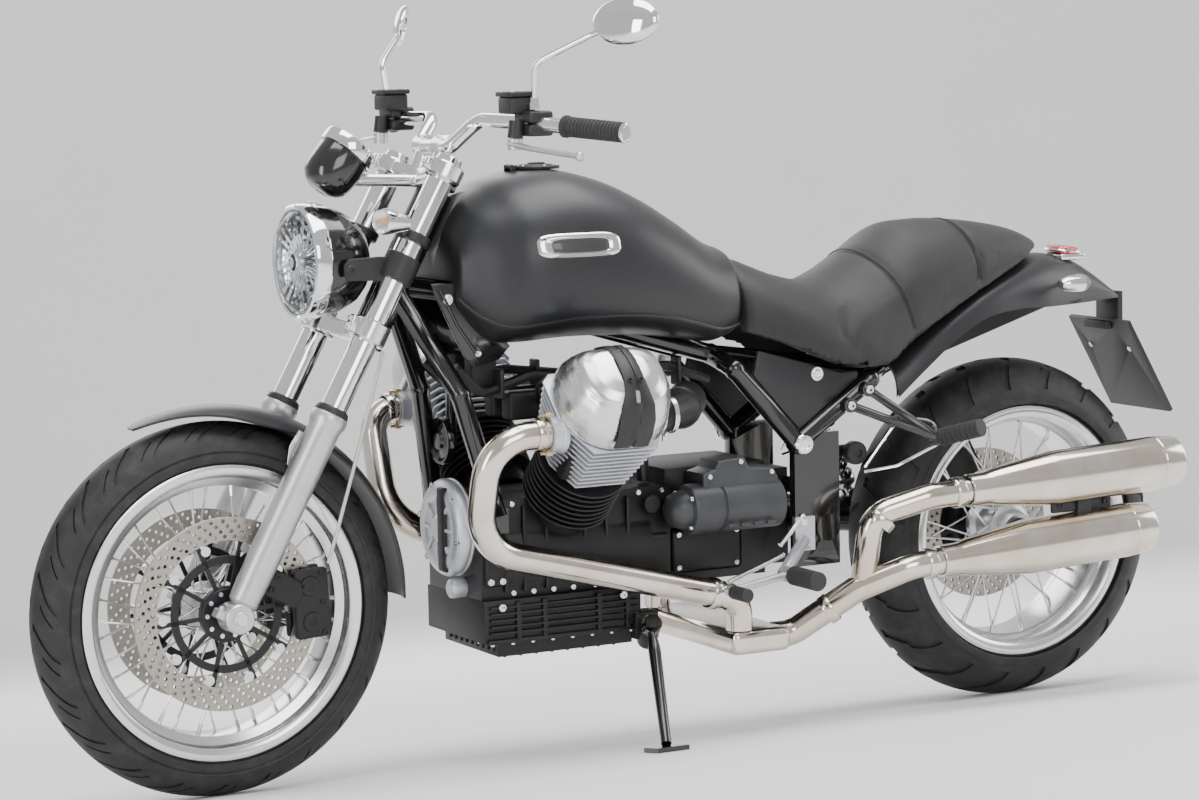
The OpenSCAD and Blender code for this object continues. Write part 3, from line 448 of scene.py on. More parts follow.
# ---- Hubs and axle --------------------------------------------------------------------------
# Cast aluminium barrels with two drilled flanges, turned bright at the bearings. The hollow
# axle is ground steel with a chamfer at each end.
casting = Finish("cast_aluminium", (0.58, 0.59, 0.6), Metallic=0.9, Roughness=0.36)
grain = casting.noise(700.0, 3.0, 0.6)
cloud = casting.noise(18.0, 4.0, 0.6)
casting.feed(Base_Color=casting.blend(cloud, (0.50, 0.51, 0.525), (0.66, 0.67, 0.68)),
    Roughness=0.26 + grain * 0.22)
casting.relief(grain, 0.0002, 0.5)
settle(lathe("front_hub_barrel",
    [(12.7, -52), (24, -52), (27, -50), (31, -50), (32, -48), (32, -39), (40, -38),
    (42, -36.5), (42, -28.5), (40.5, -27), (33, -25), (29, -20), (27, -8), (27, 8), (29, 20),
    (33, 25),
    (40.5, 27), (42, 28.5), (42, 36.5), (40, 38), (32, 39), (32, 48), (31, 50), (27, 50), (24, 52),
    (12.7, 52)],
    64, closed=True), "front_wheel", casting, "cast_aluminium", "front_hub", front_wheel @ about_y)
settle(lathe("rear_hub_barrel", [(14.2, -58), (36, -58), (38, -56), (38, -46), (44, -42), (46, -40),
    (46, -29),
    (44, -27), (36, -23), (33, -14), (33, 14), (36, 23), (44, 27), (46, 29), (46, 40), (44, 42),
    (36, 45), (31, 60),
    (29, 62), (14.2, 62)], 64, closed=True), "rear_wheel", casting, "cast_aluminium", "rear_hub",
    rear_wheel @ about_y)
settle(lathe("front_axle_tube", [(9, -131), (11.3, -131), (12.5, -129.5), (12.5, 129.5),
    (11.3, 131), (9, 131)], 40,
             closed=True), "front_wheel" if "front_axle" in frame["record"]["behaviour"]["bodies"]["front_wheel"]
       else "steering", casting, "cast_aluminium", "front_axle", front_wheel @ about_y)

# ---- Brake discs ----------------------------------------------------------------------------
# Floating steel rings, drilled in swept rows and tinted by heat, on black ten-armed carriers.
# Bobbins of bright steel join the two. The rear one is a plain drilled disc.
def drilled(name, place, low, high, rows, count):
    """Ground steel with holes right through, in rows that lean as they go out."""
    steel = Finish(name, (0.5, 0.47, 0.42), Metallic=1.0, Roughness=0.3)
    lines, r, x, y, z = ringed(steel, metres(place), 1400.0)
    turn = z.math("ARCTAN2", x) / (2 * math.pi) * count + 10.0
    row = (r - low) / (high - low) * rows
    part = (row % 1.0) - 0.5
    along = ((turn + row.math("FLOOR") * 0.37) % 1.0) - 0.5
    wide = along * r * (2 * math.pi / count)
    tall = part * ((high - low) / rows)
    gap = (wide * wide + tall * tall).math("SQRT")
    inside = (r > low) * (r < high)
    hole = inside * (1 - gap.rise(0.0030, 0.0034))
    rim_of_hole = inside * (1 - gap.rise(0.0034, 0.0046))
    steel.feed(Base_Color=steel.blend(lines, (0.30, 0.275, 0.24), (0.50, 0.465, 0.42)),
        Roughness=0.24 + lines * 0.2,
               Alpha=1 - hole)
    steel.relief(lines - rim_of_hole, 0.0003, 0.6)
    return steel


carrier_black = Finish("carrier_black", (0.02, 0.02, 0.022), Metallic=0.5, Roughness=0.34)
carrier_black.feed(Roughness=0.28 + carrier_black.noise(300.0) * 0.2)
disc_steel = drilled("front_disc_steel", front_wheel, 0.124, 0.158, 4.0, 46.0)
flat = [(122, -2.4), (160, -2.4), (160, 2.4), (122, 2.4)]


def star(name, arms, foot, waist, reach, thick):
    """A carrier: a ring with arms, pulled out of a flat disc's edge faces."""
    bpy.ops.object.select_all(action="DESELECT")
    bpy.ops.mesh.primitive_cylinder_add(vertices=arms * 4, radius=foot, depth=thick,
        end_fill_type="NGON")
    obj = bpy.context.active_object
    obj.name = obj.data.name = name
    pick(obj, lambda f: abs(f.normal.z) < 0.1 and round(math.atan2(f.center.y,
        f.center.x) * arms * 2 / math.pi - 0.5) % 4 == 0)
    bpy.ops.mesh.extrude_faces_move(TRANSFORM_OT_shrink_fatten={"value": waist - foot})
    bpy.ops.mesh.extrude_faces_move(TRANSFORM_OT_shrink_fatten={"value": reach - waist})
    leave()
    pick(obj, lambda f: abs(f.normal.z) > 0.9 and f.center.xy.length < 5)
    bpy.ops.mesh.inset(thickness=foot * 0.42)
    bpy.ops.mesh.delete(type="FACE")
    leave()
    return obj


for side, label in ((1, "left"), (-1, "right")):
    shift = front_wheel @ Matrix.Translation((0, side * 62, 0))
    settle(lathe(f"front_disc_ring_{label}", flat, 128, closed=True), "front_wheel", disc_steel,
        "disc_steel",
           "front_discs" if side > 0 else None, shift @ about_y, 30)
    arms = star(f"front_disc_carrier_{label}", 10, 46, 92, 121, 4)
    settle(arms, "front_wheel", carrier_black, "black_casting", None, shift @ about_y)
    hoop = lathe(f"front_disc_band_{label}", [(84, -2), (97, -2), (97, 2), (84, 2)], 80,
        closed=True)
    settle(hoop, "front_wheel", carrier_black, "black_casting", None, shift @ about_y)
    boss = lathe(f"front_disc_boss_{label}", [(20, -9), (46, -9), (46, -1), (42, 3), (20, 3)], 60,
        closed=True)
    settle(boss, "front_wheel", carrier_black, "black_casting", None, shift @ about_y)
    bobbins = []
    for i in range(10):
        a = math.radians(36 * i)
        c = Vector((112 * math.cos(a), 0, 112 * math.sin(a)))
        bobbins.append(rod(c - Vector((0, 4.4, 0)), c + Vector((0, 4.4, 0)), 8.4, 16))
        e = Vector((36 * math.cos(a), 0, 36 * math.sin(a)))
        bobbins.append(rod(e + Vector((0, side * 2, 0)), e + Vector((0, side * 7, 0)), 4.2, 6))
    settle(joined(f"front_disc_bobbins_{label}", bobbins), "front_wheel", wire, "spoke_steel", None,
        shift)
rear_steel = drilled("rear_disc_steel", rear_wheel, 0.100, 0.139, 4.0, 40.0)
rear_shift = rear_wheel @ Matrix.Translation((0, -55, 0))
settle(lathe("rear_disc_ring", [(96, -2.4), (141, -2.4), (141, 2.4), (96, 2.4)], 128, closed=True),
    "rear_wheel",
       rear_steel, "disc_steel", "rear_disc", rear_shift @ about_y, 30)
settle(star("rear_disc_carrier", 6, 46, 80, 97, 4), "rear_wheel", carrier_black, "black_casting",
    None,
       rear_shift @ about_y)


# ---- Fork -----------------------------------------------------------------------------------
# Hard-chromed steel tubes slide in satin aluminium legs. A rubber wiper closes the top of each
# leg, and the leg's foot clamps the axle with two socket screws.
fork = front_wheel @ Matrix.Rotation(math.radians(-29), 4, "Y")


def block(name, low, high, bevel=2.0, segments=3):
    """A box between two corners with rounded edges."""
    bpy.ops.object.select_all(action="DESELECT")
    middle = [(a + b) / 2 for a, b in zip(low, high)]
    bpy.ops.mesh.primitive_cube_add(size=1, location=(0, 0, 0))
    obj = bpy.context.active_object
    obj.name = obj.data.name = name
    obj.data.transform(Matrix.Translation(middle) @ Matrix.Diagonal([b - a for a,
        b in zip(low, high)] + [1]))
    edit(obj, "EDGE")
    bpy.ops.mesh.bevel(offset=bevel, segments=segments, affect="EDGES")
    return leave()


def screw(at, way, r, tall=None, sides=6):
    """A socket screw: a round head with a sunk six-sided key hole."""
    way = Vector(way).normalized()
    tall = tall or r * 1.1
    bpy.ops.object.select_all(action="DESELECT")
    bpy.ops.mesh.primitive_cylinder_add(vertices=12, radius=r, depth=tall, end_fill_type="NGON")
    obj = bpy.context.active_object
    pick(obj, lambda f: f.normal.z > 0.9)
    bpy.ops.mesh.bevel(offset=r * 0.16, segments=1, affect="EDGES")
    leave()
    pick(obj, lambda f: f.normal.z > 0.95)
    bpy.ops.mesh.inset(thickness=r * 0.34)
    bpy.ops.mesh.extrude_region_move(TRANSFORM_OT_translate={"value": (0, 0, -tall * 0.5)})
    leave()
    turn = way.to_track_quat("Z", "Y").to_matrix().to_4x4()
    obj.data.transform(Matrix.Translation(Vector(at) + way * tall / 2) @ turn)
    return obj


chrome = Finish("hard_chrome", (0.85, 0.86, 0.87), Metallic=1.0, Roughness=0.07)
smear = chrome.noise(46.0, 4.0, 0.6)
chrome.feed(Base_Color=chrome.blend(smear, (0.80, 0.81, 0.83), (0.90, 0.905, 0.91)),
    Roughness=0.03 + smear.rise(0.3, 0.9) * 0.09)
moulding = Finish("black_plastic", (0.03, 0.03, 0.032), Roughness=0.45)
fleck = moulding.noise(900.0, 2.0, 0.5)
moulding.feed(Base_Color=moulding.blend(moulding.noise(25.0), (0.007, 0.007, 0.008),
    (0.016, 0.016, 0.017)), Roughness=0.36 + fleck * 0.22)
moulding.relief(fleck, 0.0002, 0.5)

for side, label in ((1, "left"), (-1, "right")):
    leg = fork @ Matrix.Translation((0, side * 102, 0))
    settle(lathe(f"fork_tube_{label}",
        [(18.5, 141), (22.4, 141), (22.4, 828), (21, 832), (21, 836), (15, 836),
        (14, 833), (0, 833)], 48), "steering", chrome, "hard_chrome",
        "fork_tubes" if side > 0 else None, leg)
    slider = lathe(f"fork_leg_{label}",
        [(0, 20), (19, 20), (25, 27), (26.2, 60), (27.4, 110), (27.4, 336), (28.6, 344),
        (31.4, 350), (31.4, 360), (29.6, 364.6), (23, 365)], 48)
    settle(slider, "steering", casting, "cast_aluminium", "fork_sliders" if side > 0 else None, leg)
    settle(lathe(f"fork_wiper_{label}",
        [(22.6, 364), (29.2, 364), (29.6, 367), (27.5, 374), (24, 377), (22.6, 377)], 40,
                 closed=True), "steering", moulding, "black_plastic", None, leg)
    foot = lathe(f"fork_foot_{label}",
        [(12.8, -22.5), (22, -22.5), (25, -20), (25, 20.5), (22.5, 23.5), (12.8, 23.5)], 40,
                 closed=True)
    foot.data.transform(about_y)
    lug = block("lug", (7, -12, -14), (37.5, 14, 2), 3.5)
    web = block("web", (-16, -13, 2), (16, 15, 44), 7, 4)
    settle(joined(f"fork_foot_{label}", [foot, lug, web]), "steering", casting, "cast_aluminium",
        None, leg)
    heads = [screw((x, side * 1, 2), (0, 0, 1), 4.6) for x in (17, 30)]
    heads.append(rod((0, side * 22, 0), (0, side * 27.6, 0), 15, 6))
    heads.append(rod((0, side * 27, 0), (0, side * 28.6, 0), 11, 24, 9.5))
    settle(joined(f"fork_screws_{label}", heads), "steering", wire, "spoke_steel", None, leg)

# ---- Yokes and steering stem ----------------------------------------------------------------
# Two forged aluminium plates, polished, that clamp both tubes. Slits with pinch screws close
# the clamps, and a chromed nut holds the upper one on the stem.
bright = Finish("polished_aluminium", (0.8, 0.81, 0.82), Metallic=1.0, Roughness=0.16)
wipe = bright.noise(60.0, 5.0, 0.65)
bright.feed(Base_Color=bright.blend(wipe, (0.68, 0.69, 0.71), (0.88, 0.885, 0.89)),
    Roughness=0.08 + wipe * 0.2)
bright.relief(bright.noise(220.0, 3.0), 0.00008, 0.5)


def plate(name, outline, low, high, bevel=3.0, segments=3):
    """A plate cut to an outline of (x, y) points, with rounded edges."""
    mesh = bpy.data.meshes.new(name)
    mesh.from_pydata([(x, y, low) for x, y in outline], [], [tuple(range(len(outline)))])
    obj = bpy.data.objects.new(name, mesh)
    bpy.context.scene.collection.objects.link(obj)
    edit(obj, "FACE")
    bpy.ops.mesh.normals_make_consistent(inside=False)
    bpy.ops.mesh.extrude_region_move(TRANSFORM_OT_translate={"value": (0, 0, high - low)})
    bpy.ops.mesh.select_all(action="SELECT")
    bpy.ops.mesh.normals_make_consistent(inside=False)
    if bevel:
        leave()
        pick(obj, lambda f: abs(f.normal.z) > 0.9)
        bpy.ops.mesh.bevel(offset=bevel, segments=segments, affect="EDGES")
    return leave()


yoke_line = [(-70, -20), (-70, 20), (-50, 34), (-26, 92), (18, 84), (4, 46), (-4, 20), (-4, -20),
    (4, -46), (18, -84),
             (-26, -92), (-50, -34)]
for name, low, high in (("lower_yoke", 502, 530), ("upper_yoke", 800, 820)):
    parts = [plate(name, yoke_line, low, high, 5)]
    for side in (1, -1):
        ring = lathe("ring", [(22.6, low - 4), (29, low - 4), (32, low - 1), (32, high + 1),
            (29, high + 4),
                              (22.6, high + 4)], 40, closed=True)
        ring.data.transform(Matrix.Translation((0, side * 102, 0)))
        parts += [ring, block("pinch", (16, side * 102 - 9, low), (41, side * 102 + 9, high), 4)]
    if name == "lower_yoke":
        parts.append(rod((-45, 0, 510), (-45, 0, 819), 15, 32))
    else:
        parts.append(lathe("stem_nut",
            [(0, 820), (19, 820), (19, 827), (16.5, 830), (9, 830), (8, 827), (0, 827)], 6))
        parts[-1].data.transform(Matrix.Translation((-45, 0, 0)))
    settle(joined(f"{name}_forging", parts), "steering", bright, "polished_aluminium",
           [name] if name == "lower_yoke" else None, fork)
    heads = [screw((41, side * 102, z), (1, 0, 0), 4.4, 4) for side in (1, -1)
             for z in ([(low + high) / 2] if name == "upper_yoke" else [low + 8, high - 8])]
    settle(joined(f"{name}_screws", heads), "steering", wire, "spoke_steel", None, fork)

# ---- Handlebar ------------------------------------------------------------------------------
# One chromed steel tube bent by hand: up from the clamps, out along the middle and back to the
# grips. Two polished risers hold it on the upper yoke.


def round_path(points, radii, steps=8):
    """Straight runs with each corner rounded to its radius."""
    points = [Vector(p) for p in points]
    line = [points[0]]
    for a, b, c, r in zip(points, points[1:], points[2:], radii):
        u, v = (a - b).normalized(), (c - b).normalized()
        half = u.angle(v) / 2
        centre = b + (u + v).normalized() * r / math.sin(half)
        p, q = b + u * r / math.tan(half) - centre, b + v * r / math.tan(half) - centre
        line += [centre + p.slerp(q, i / steps).normalized() * r for i in range(steps + 1)]
    return line + [points[-1]]


def bent(name, line, r, sides=20, closed=False):
    """A round bar or pipe that follows a line of points."""
    curve = bpy.data.curves.new(name, "CURVE")
    curve.dimensions, curve.bevel_depth, curve.bevel_resolution = "3D", r, max(sides // 4 - 1, 0)
    curve.use_fill_caps = not closed
    spline = curve.splines.new("POLY")
    spline.points.add(len(line) - 1)
    for point, at in zip(spline.points, line):
        point.co = (*at, 1)
    spline.use_cyclic_u = closed
    obj = bpy.data.objects.new(name, curve)
    bpy.context.scene.collection.objects.link(obj)
    alone(obj)
    bpy.ops.object.convert(target="MESH")
    return bpy.context.active_object


upright = Matrix.Identity(4)
clamp = Vector((1146, 0, 1060))
half_bar = round_path([clamp + Vector((0, 52, 0)), clamp + Vector((0, 64, 0)), (1104, 88, 1104),
    (1090, 284, 1100),
                       (1018, 441, 1086)], [11, 34, 60], 8)
other_bar = [Vector((p.x, -p.y, p.z)) for p in reversed(half_bar)]
settle(bent("handlebar_tube", other_bar + half_bar, 12.4, 24), "steering", chrome, "hard_chrome",
    "handlebar", upright)
risers = []
for side in (1, -1):
    risers += [rod(clamp + Vector((14, side * 36, -42)), clamp + Vector((1, side * 36, -4)), 14.8,
        32, 13),
               rod(clamp + Vector((0, side * 22, 0)), clamp + Vector((0, side * 50, 0)), 18.8, 32)]
    risers += [screw(clamp + Vector((x, side * 36, 14)), (0, 0, 1), 4.2) for x in (-9, 9)]
riser = joined("handlebar_risers", risers)
settle(riser, "steering", bright, "polished_aluminium", "upper_yoke", upright)


# ---- Grips ----------------------------------------------------------------------------------
# Black rubber sleeves with moulded rings, a flange on the inner end and a chromed weight on
# the outer end.
def on_bar(length):
    """A frame at the bar's end, Z out along it, length back from the tip."""
    tip, way = Vector((1018, 441,
        1086)), (Vector((1018, 441, 1086)) - Vector((1090, 284, 1100))).normalized()
    return Matrix.Translation(tip - way * length) @ way.to_track_quat("Z", "Y").to_matrix().to_4x4()


mirror = Matrix.Diagonal((1, -1, 1, 1))


def both(make, name, body, finish, slot, node=None, place=upright, **more):
    """Settles a piece made for the left, and its mirrored twin for the right."""
    for label, flip in (("left", upright), ("right", mirror)):
        obj = make()
        obj.data.transform(obj.matrix_basis)
        obj.matrix_basis = upright
        obj.data.transform(flip @ place)
        if label == "right":
            edit(obj)
            bpy.ops.mesh.flip_normals()
            leave()
        settle(obj, body, finish, slot, node if label == "left" else None, upright,
            name=f"{name}_{label}", **more)


grip_rubber = Finish("grip_rubber", (0.02, 0.02, 0.02), Roughness=0.62)
grip_rubber.feed(Base_Color=grip_rubber.blend(grip_rubber.noise(140.0), (0.014, 0.014, 0.015),
    (0.03, 0.03, 0.03)),
                 Roughness=0.5 + grip_rubber.noise(600.0) * 0.22)
ribs = [(12.8, 0), (18.4, 0), (18.4, 5), (15.6, 7)]
for i in range(15):
    ribs += [(16.6, 9 + i * 7), (16.6, 12.6 + i * 7), (15.2, 13.4 + i * 7), (15.2, 15.6 + i * 7)]
ribs += [(16.4, 117), (12.8, 118)]
both(lambda: lathe("grip", ribs, 32, closed=True), "grip_sleeve", "steering", grip_rubber,
    "grip_rubber",
     "handlebar_grips", on_bar(122))
both(lambda: lathe("weight", [(0, -6), (13, -6), (15.6, -4), (15.6, -1.4), (13, 0), (12, -1.5),
    (11, 0), (0, 0)], 32), "grip_weight",
     "steering", chrome, "hard_chrome", None, on_bar(-0.4))


# ---- Switches, reservoirs and levers --------------------------------------------------------
# Moulded black switch boxes in two halves, each with a fluid box on top and its lever in
# front. The red stop switch is on the right.
pod = Vector((1091, 262, 1101))


def switch_box():
    return joined("switch", [block("a", pod + Vector((-21, -27, -21)), pod + Vector((23, 33, -1)),
        6, 4),
                             block("b", pod + Vector((-21, -27, 0)), pod + Vector((23, 33, 20)), 6,
                                 4),
                             block("c", pod + Vector((-23, -14, -12)), pod + Vector((-15, 22, 12)),
                                 3),
                             rod(pod + Vector((34, 0, -24)), pod + Vector((30, 0, 4)), 12.8, 24)])


def reservoir():
    lid = block("lid", pod + Vector((-4, -46, 43)), pod + Vector((46, 10, 51.5)), 2.6)
    return joined("reservoir", [block("tub", pod + Vector((-1, -43, 15)), pod + Vector((43, 7, 43)),
        4, 3), lid])


both(switch_box, "switch_box", "steering", moulding, "black_plastic", "control_pods")
both(reservoir, "fluid_box", "steering", moulding, "black_plastic")
both(lambda: joined("s", [screw(pod + Vector((x, y, 51)), (0, 0, 1), 3, 1.0) for x in (3,
    39) for y in (-39, 3)]),
     "fluid_box_screws", "steering", wire, "spoke_steel")
both(lambda: joined("buttons", [block("k", pod + Vector((-26, -8 + 14 * i, -7 + 3 * i)),
                                      pod + Vector((-20, 1 + 14 * i, 4 + 3 * i)), 1.6) for i in (0,
                                          1)]),
     "switch_buttons", "steering", grip_rubber, "grip_rubber")
red = Finish("stop_red", (0.5, 0.02, 0.015), Roughness=0.35)
red.feed(Base_Color=red.blend(red.noise(300.0), (0.42, 0.014, 0.01), (0.56, 0.03, 0.02)))
stop = block("stop_switch", pod + Vector((-14, -66 + 44, 20)), pod + Vector((2, -66 + 56, 27)), 2.2)
stop.data.transform(mirror @ Matrix.Translation((0, 26, 2)))
edit(stop)
bpy.ops.mesh.flip_normals()
leave()
settle(stop, "steering", red, "gloss_black_plastic", None, upright)


def lever():
    """A forged blade: a run of sections drawn along the lever's line."""
    line = round_path([pod + Vector((40, -4, -32)), pod + Vector((38, 64, -39)),
        pod + Vector((4, 166, -50))], [60], 8)
    wide = [8, 8, 7.5, 7, 7, 7, 6.8, 6.6, 6.6, 6.4, 6.2]

    def spot(u, v):
        i = round(v * (len(line) - 1))
        way = (line[min(i + 1, len(line) - 1)] - line[max(i - 1, 0)]).normalized()
        out = way.cross(Vector((0, 0, 1))).normalized()
        a = 2 * math.pi * u
        return line[i] + out * math.cos(a) * wide[min(i, 10)] + out.cross(way) * math.sin(a) * 4.6

    blade = moulded("blade", 16, len(line) - 1, spot)
    bpy.ops.object.select_all(action="DESELECT")
    bpy.ops.mesh.primitive_uv_sphere_add(segments=20, ring_count=12, radius=7.8, location=line[-1])
    ball = bpy.context.active_object
    ball.data.transform(ball.matrix_basis)
    ball.matrix_basis = upright
    edit(blade)
    bpy.ops.mesh.select_all(action="DESELECT")
    bpy.ops.mesh.select_non_manifold()
    bpy.ops.mesh.fill_holes(sides=0)
    leave()
    pivot = rod(pod + Vector((34, 0, -43)), pod + Vector((34, 0, -24.6)), 12.6, 24)
    return joined("lever", [blade, ball, pivot, screw(pod + Vector((34, 0, -24)), (0, 0, 1), 5)])


both(lever, "hand_lever", "steering", casting, "cast_aluminium", "hand_levers")

# ---- Mirrors --------------------------------------------------------------------------------
# A chromed cup on a bent chromed stem. The glass faces back and sits inside the cup's rim.
foot_at = pod + Vector((8, 22, 34.3))
head_at = Vector((1004, 420, 1262))
face = Matrix.Translation(head_at) @ Matrix.Rotation(math.radians(28), 4,
    "Z") @ Matrix.Rotation(math.radians(-12), 4, "Y")


def mirror_cup():
    bpy.ops.object.select_all(action="DESELECT")
    bpy.ops.mesh.primitive_uv_sphere_add(segments=48, ring_count=24, radius=62)
    cup = bpy.context.active_object
    cup.data.transform(face @ Matrix.Diagonal((0.28, 1, 0.62, 1)) @ Matrix.Rotation(math.pi / 2, 4,
        "Y"))
    back = face.to_3x3() @ Vector((-1, 0, 0))
    edit(cup)
    bpy.ops.mesh.bisect(plane_co=head_at + back * 3, plane_no=back, clear_outer=True, use_fill=True)
    leave()
    pick(cup, lambda f: f.normal.dot(back) > 0.99 and f.area > 500)
    bpy.ops.mesh.inset(thickness=2.2)
    bpy.ops.mesh.extrude_region_move(TRANSFORM_OT_translate={"value": -back * 3.4})
    leave()
    stem = bent("stem", round_path([foot_at, foot_at + Vector((6, 12, 62)),
        head_at + Vector((34, -50, -20)),
                                    head_at + Vector((6, 0, 0))], [30, 20], 8), 5.4, 20)
    base = lathe("base", [(0, -12), (9, -12), (9, -2), (7.4, 0), (7.4, 6), (5.6, 9), (0, 9)], 6)
    base.data.transform(Matrix.Translation(foot_at))
    ball = lathe("ball", [(0, -9), (6, -8), (9, -3), (9, 3), (6, 8), (0, 9)], 24)
    ball.data.transform(Matrix.Translation(head_at + Vector((14, -12, -6))))
    return joined("mirror", [cup, stem, base, ball])


both(mirror_cup, "mirror_chrome", "steering", chrome, "hard_chrome", "mirrors")
glass = Finish("mirror_glass", (0.75, 0.78, 0.8), Metallic=1.0, Roughness=0.03)
glass.feed(Base_Color=glass.blend(glass.noise(30.0), (0.70, 0.73, 0.75), (0.80, 0.82, 0.84)))


def mirror_pane():
    pane = lathe("pane", [(0, 0.4), (54, 0.2), (57, 0), (57, -1), (0, -1)], 48)
    pane.data.transform(face @ Matrix.Translation((-1.2, 0, 0)) @ Matrix.Diagonal((1, 1, 0.62, 1))
                        @ Matrix.Rotation(math.radians(-90), 4, "Y"))
    return pane


both(mirror_pane, "mirror_pane", "steering", glass, "hard_chrome")

# ---- Headlamp -------------------------------------------------------------------------------
# A deep black bowl with a chromed ring, a faceted bright reflector, a bulb shield and a clear
# domed glass. Two pressed arms carry it from clamps on the fork tubes.
lamp = Matrix.Translation((1404, 0, 876)) @ Matrix.Rotation(math.radians(-90), 4, "Y")
gloss = Finish("gloss_black", (0.012, 0.012, 0.013), Roughness=0.12, Coat_Weight=0.6,
    Coat_Roughness=0.05)
peel = gloss.noise(240.0, 2.0, 0.4)
gloss.feed(Base_Color=gloss.blend(gloss.noise(12.0), (0.004, 0.004, 0.0045), (0.010, 0.010, 0.011)),
    Roughness=0.1 + peel * 0.12)
gloss.relief(peel, 0.00008, 0.4)
settle(lathe("headlamp_bowl", [(88, 24), (93, 24), (93.4, 32), (91, 52), (85, 72), (74, 92),
    (58, 108), (36, 119),
    (18, 124), (0, 125.6)], 96), "steering", gloss, "gloss_black_plastic", "headlamp", lamp)
settle(lathe("headlamp_ring", [(86, 4), (88, -1.5), (92, -3.4), (96, -1), (97, 4), (97, 22),
    (95, 26), (92, 27),
    (90, 25), (88, 8)], 96, closed=True), "steering", chrome, "hard_chrome", None, lamp)
mirror_bowl = Finish("headlamp_reflector", (0.86, 0.87, 0.88), Metallic=1.0, Roughness=0.12)
lx, ly, lz = mirror_bowl.split(mirror_bowl.point(stance @ metres(lamp)))
rays = (lx.math("ARCTAN2", ly) * (14 / math.pi)) % 1.0
steps = ((lx * lx + ly * ly).math("SQRT") * 62.0) % 1.0
facet = abs(rays - 0.5) + abs(steps - 0.5)
mirror_bowl.feed(Base_Color=mirror_bowl.blend(facet, (0.62, 0.64, 0.66), (0.95, 0.955, 0.96)),
    Roughness=0.06 + facet * 0.12)
mirror_bowl.relief(facet, 0.0016, 0.9)
settle(lathe("headlamp_reflector",
    [(88, 6), (84, 12), (70, 26), (52, 38), (30, 46), (16, 48), (0, 48)], 96), "steering",
       mirror_bowl, "polished_aluminium", None, lamp)
settle(lathe("headlamp_bulb", [(0, 4), (9, 5), (14, 10), (15, 18), (12, 20), (8, 22), (7, 46),
    (0, 47)], 32), "steering",
       chrome, "hard_chrome", None, lamp)
clear = Finish("clear_lens", (0.93, 0.96, 0.98), Roughness=0.02, Transmission_Weight=1.0, IOR=1.25)
wave = clear.noise(26.0, 1.0)
clear.feed(Roughness=0.01 + wave * 0.03)
clear.relief(wave, 0.0004, 0.3)
settle(lathe("headlamp_glass", [(89, 3.5), (80, -4), (66, -9), (44, -13.4), (22, -15), (0, -15.4),
    (0, -13), (22, -12.4),
    (44, -11), (66, -6.6), (80, -1.6), (87, 5.5)], 96), "steering", clear, "clear_lens",
    "headlamp_lens", lamp)


def lamp_arm():
    arm = plate("arm", [(1262, 852), (1290, 846), (1356, 848), (1362, 858), (1362, 874),
        (1354, 884), (1300, 886),
                        (1262, 884)], 0, 7, 1.6)
    arm.data.transform(Matrix.Translation((0, 105, 0)) @ Matrix.Rotation(math.radians(90), 4, "X"))
    arm.data.transform(Matrix.Translation((0, 0, 0)))
    return joined("arm", [arm, screw((1352, 104.5, 866), (0, 1, 0), 8.5, 4.2)])


both(lamp_arm, "headlamp_arm", "steering", moulding, "black_plastic", "headlamp_bracket")
for side, label in ((1, "left"), (-1, "right")):
    leg = fork @ Matrix.Translation((0, side * 102, 0))
    settle(lathe(f"headlamp_clamp_{label}",
        [(22.7, 610), (28, 610), (29.4, 612), (29.4, 652), (28, 654), (22.7, 654)], 40,
                 closed=True), "steering", moulding, "black_plastic", None, leg)

# ---- Speedometer ----------------------------------------------------------------------------
# A spun steel cup, enamelled black, with a chromed bezel, a pale dial with tick marks and a
# domed glass. It stands ahead of the upper yoke on a short stalk.
axis = Vector((-0.66, 0, 0.75)).normalized()
clock = Matrix.Translation((1326, 0, 1034)) @ axis.to_track_quat("Z", "Y").to_matrix().to_4x4()
settle(lathe("speedometer_cup", [(0, -52), (20, -51), (31, -46), (40, -36), (44, -22), (45, -6),
    (45, 26), (43, 30), (0, 30)], 72),
       "steering", gloss, "gloss_black_plastic", "speedometer", clock)
settle(lathe("speedometer_bezel",
    [(44.4, 22), (48.4, 23), (49, 26), (49, 41), (47.4, 45), (44, 46), (42, 43), (42, 36)], 72,
             closed=True), "steering", chrome, "hard_chrome", None, clock)
dial = Finish("speedometer_dial", (0.8, 0.8, 0.78), Roughness=0.4)
dx, dy, dz = dial.split(dial.point(stance @ metres(clock)))
away = (dx * dx + dy * dy).math("SQRT")
around = dx.math("ARCTAN2", dy)
tick = (abs((around * (24 / math.pi)) % 1.0 - 0.5) < 0.1) * (away > 0.032) * (away < 0.038)
big = (abs((around * (6 / math.pi)) % 1.0 - 0.5) < 0.05) * (away > 0.028) * (away < 0.038)
dial.feed(Base_Color=dial.blend((tick + big).rise(0.2, 0.8), (0.74, 0.74, 0.72),
    (0.02, 0.02, 0.02)),
          Roughness=0.35 + dial.noise(300.0) * 0.15)
settle(lathe("speedometer_dial", [(0, 36.5), (42.4, 36.5), (42.4, 34), (0, 34)], 64), "steering",
    dial, "black_plastic",
       None, clock)
needle = rod((0, -7, 38.6), (0, 30, 38.6), 1.3, 8, 0.5)
hub_cap = lathe("hub", [(0, 40.6), (4, 40.2), (5, 37), (0, 37)], 24)
settle(joined("speedometer_needle", [needle, hub_cap]), "steering", red, "gloss_black_plastic",
    None, clock)
settle(lathe("speedometer_glass",
    [(0, 45), (24, 44.4), (42.4, 42), (42.4, 41), (24, 43), (0, 43.6)], 64), "steering",
       clear, "clear_lens", None, clock)
settle(joined("speedometer_stalk", [rod((1332, 0, 1010), (1166, 0, 1002), 11, 24),
                                    block("saddle", (1160, -24, 996), (1196, 24, 1010), 4)]),
       "steering", bright, "polished_aluminium", None, upright)

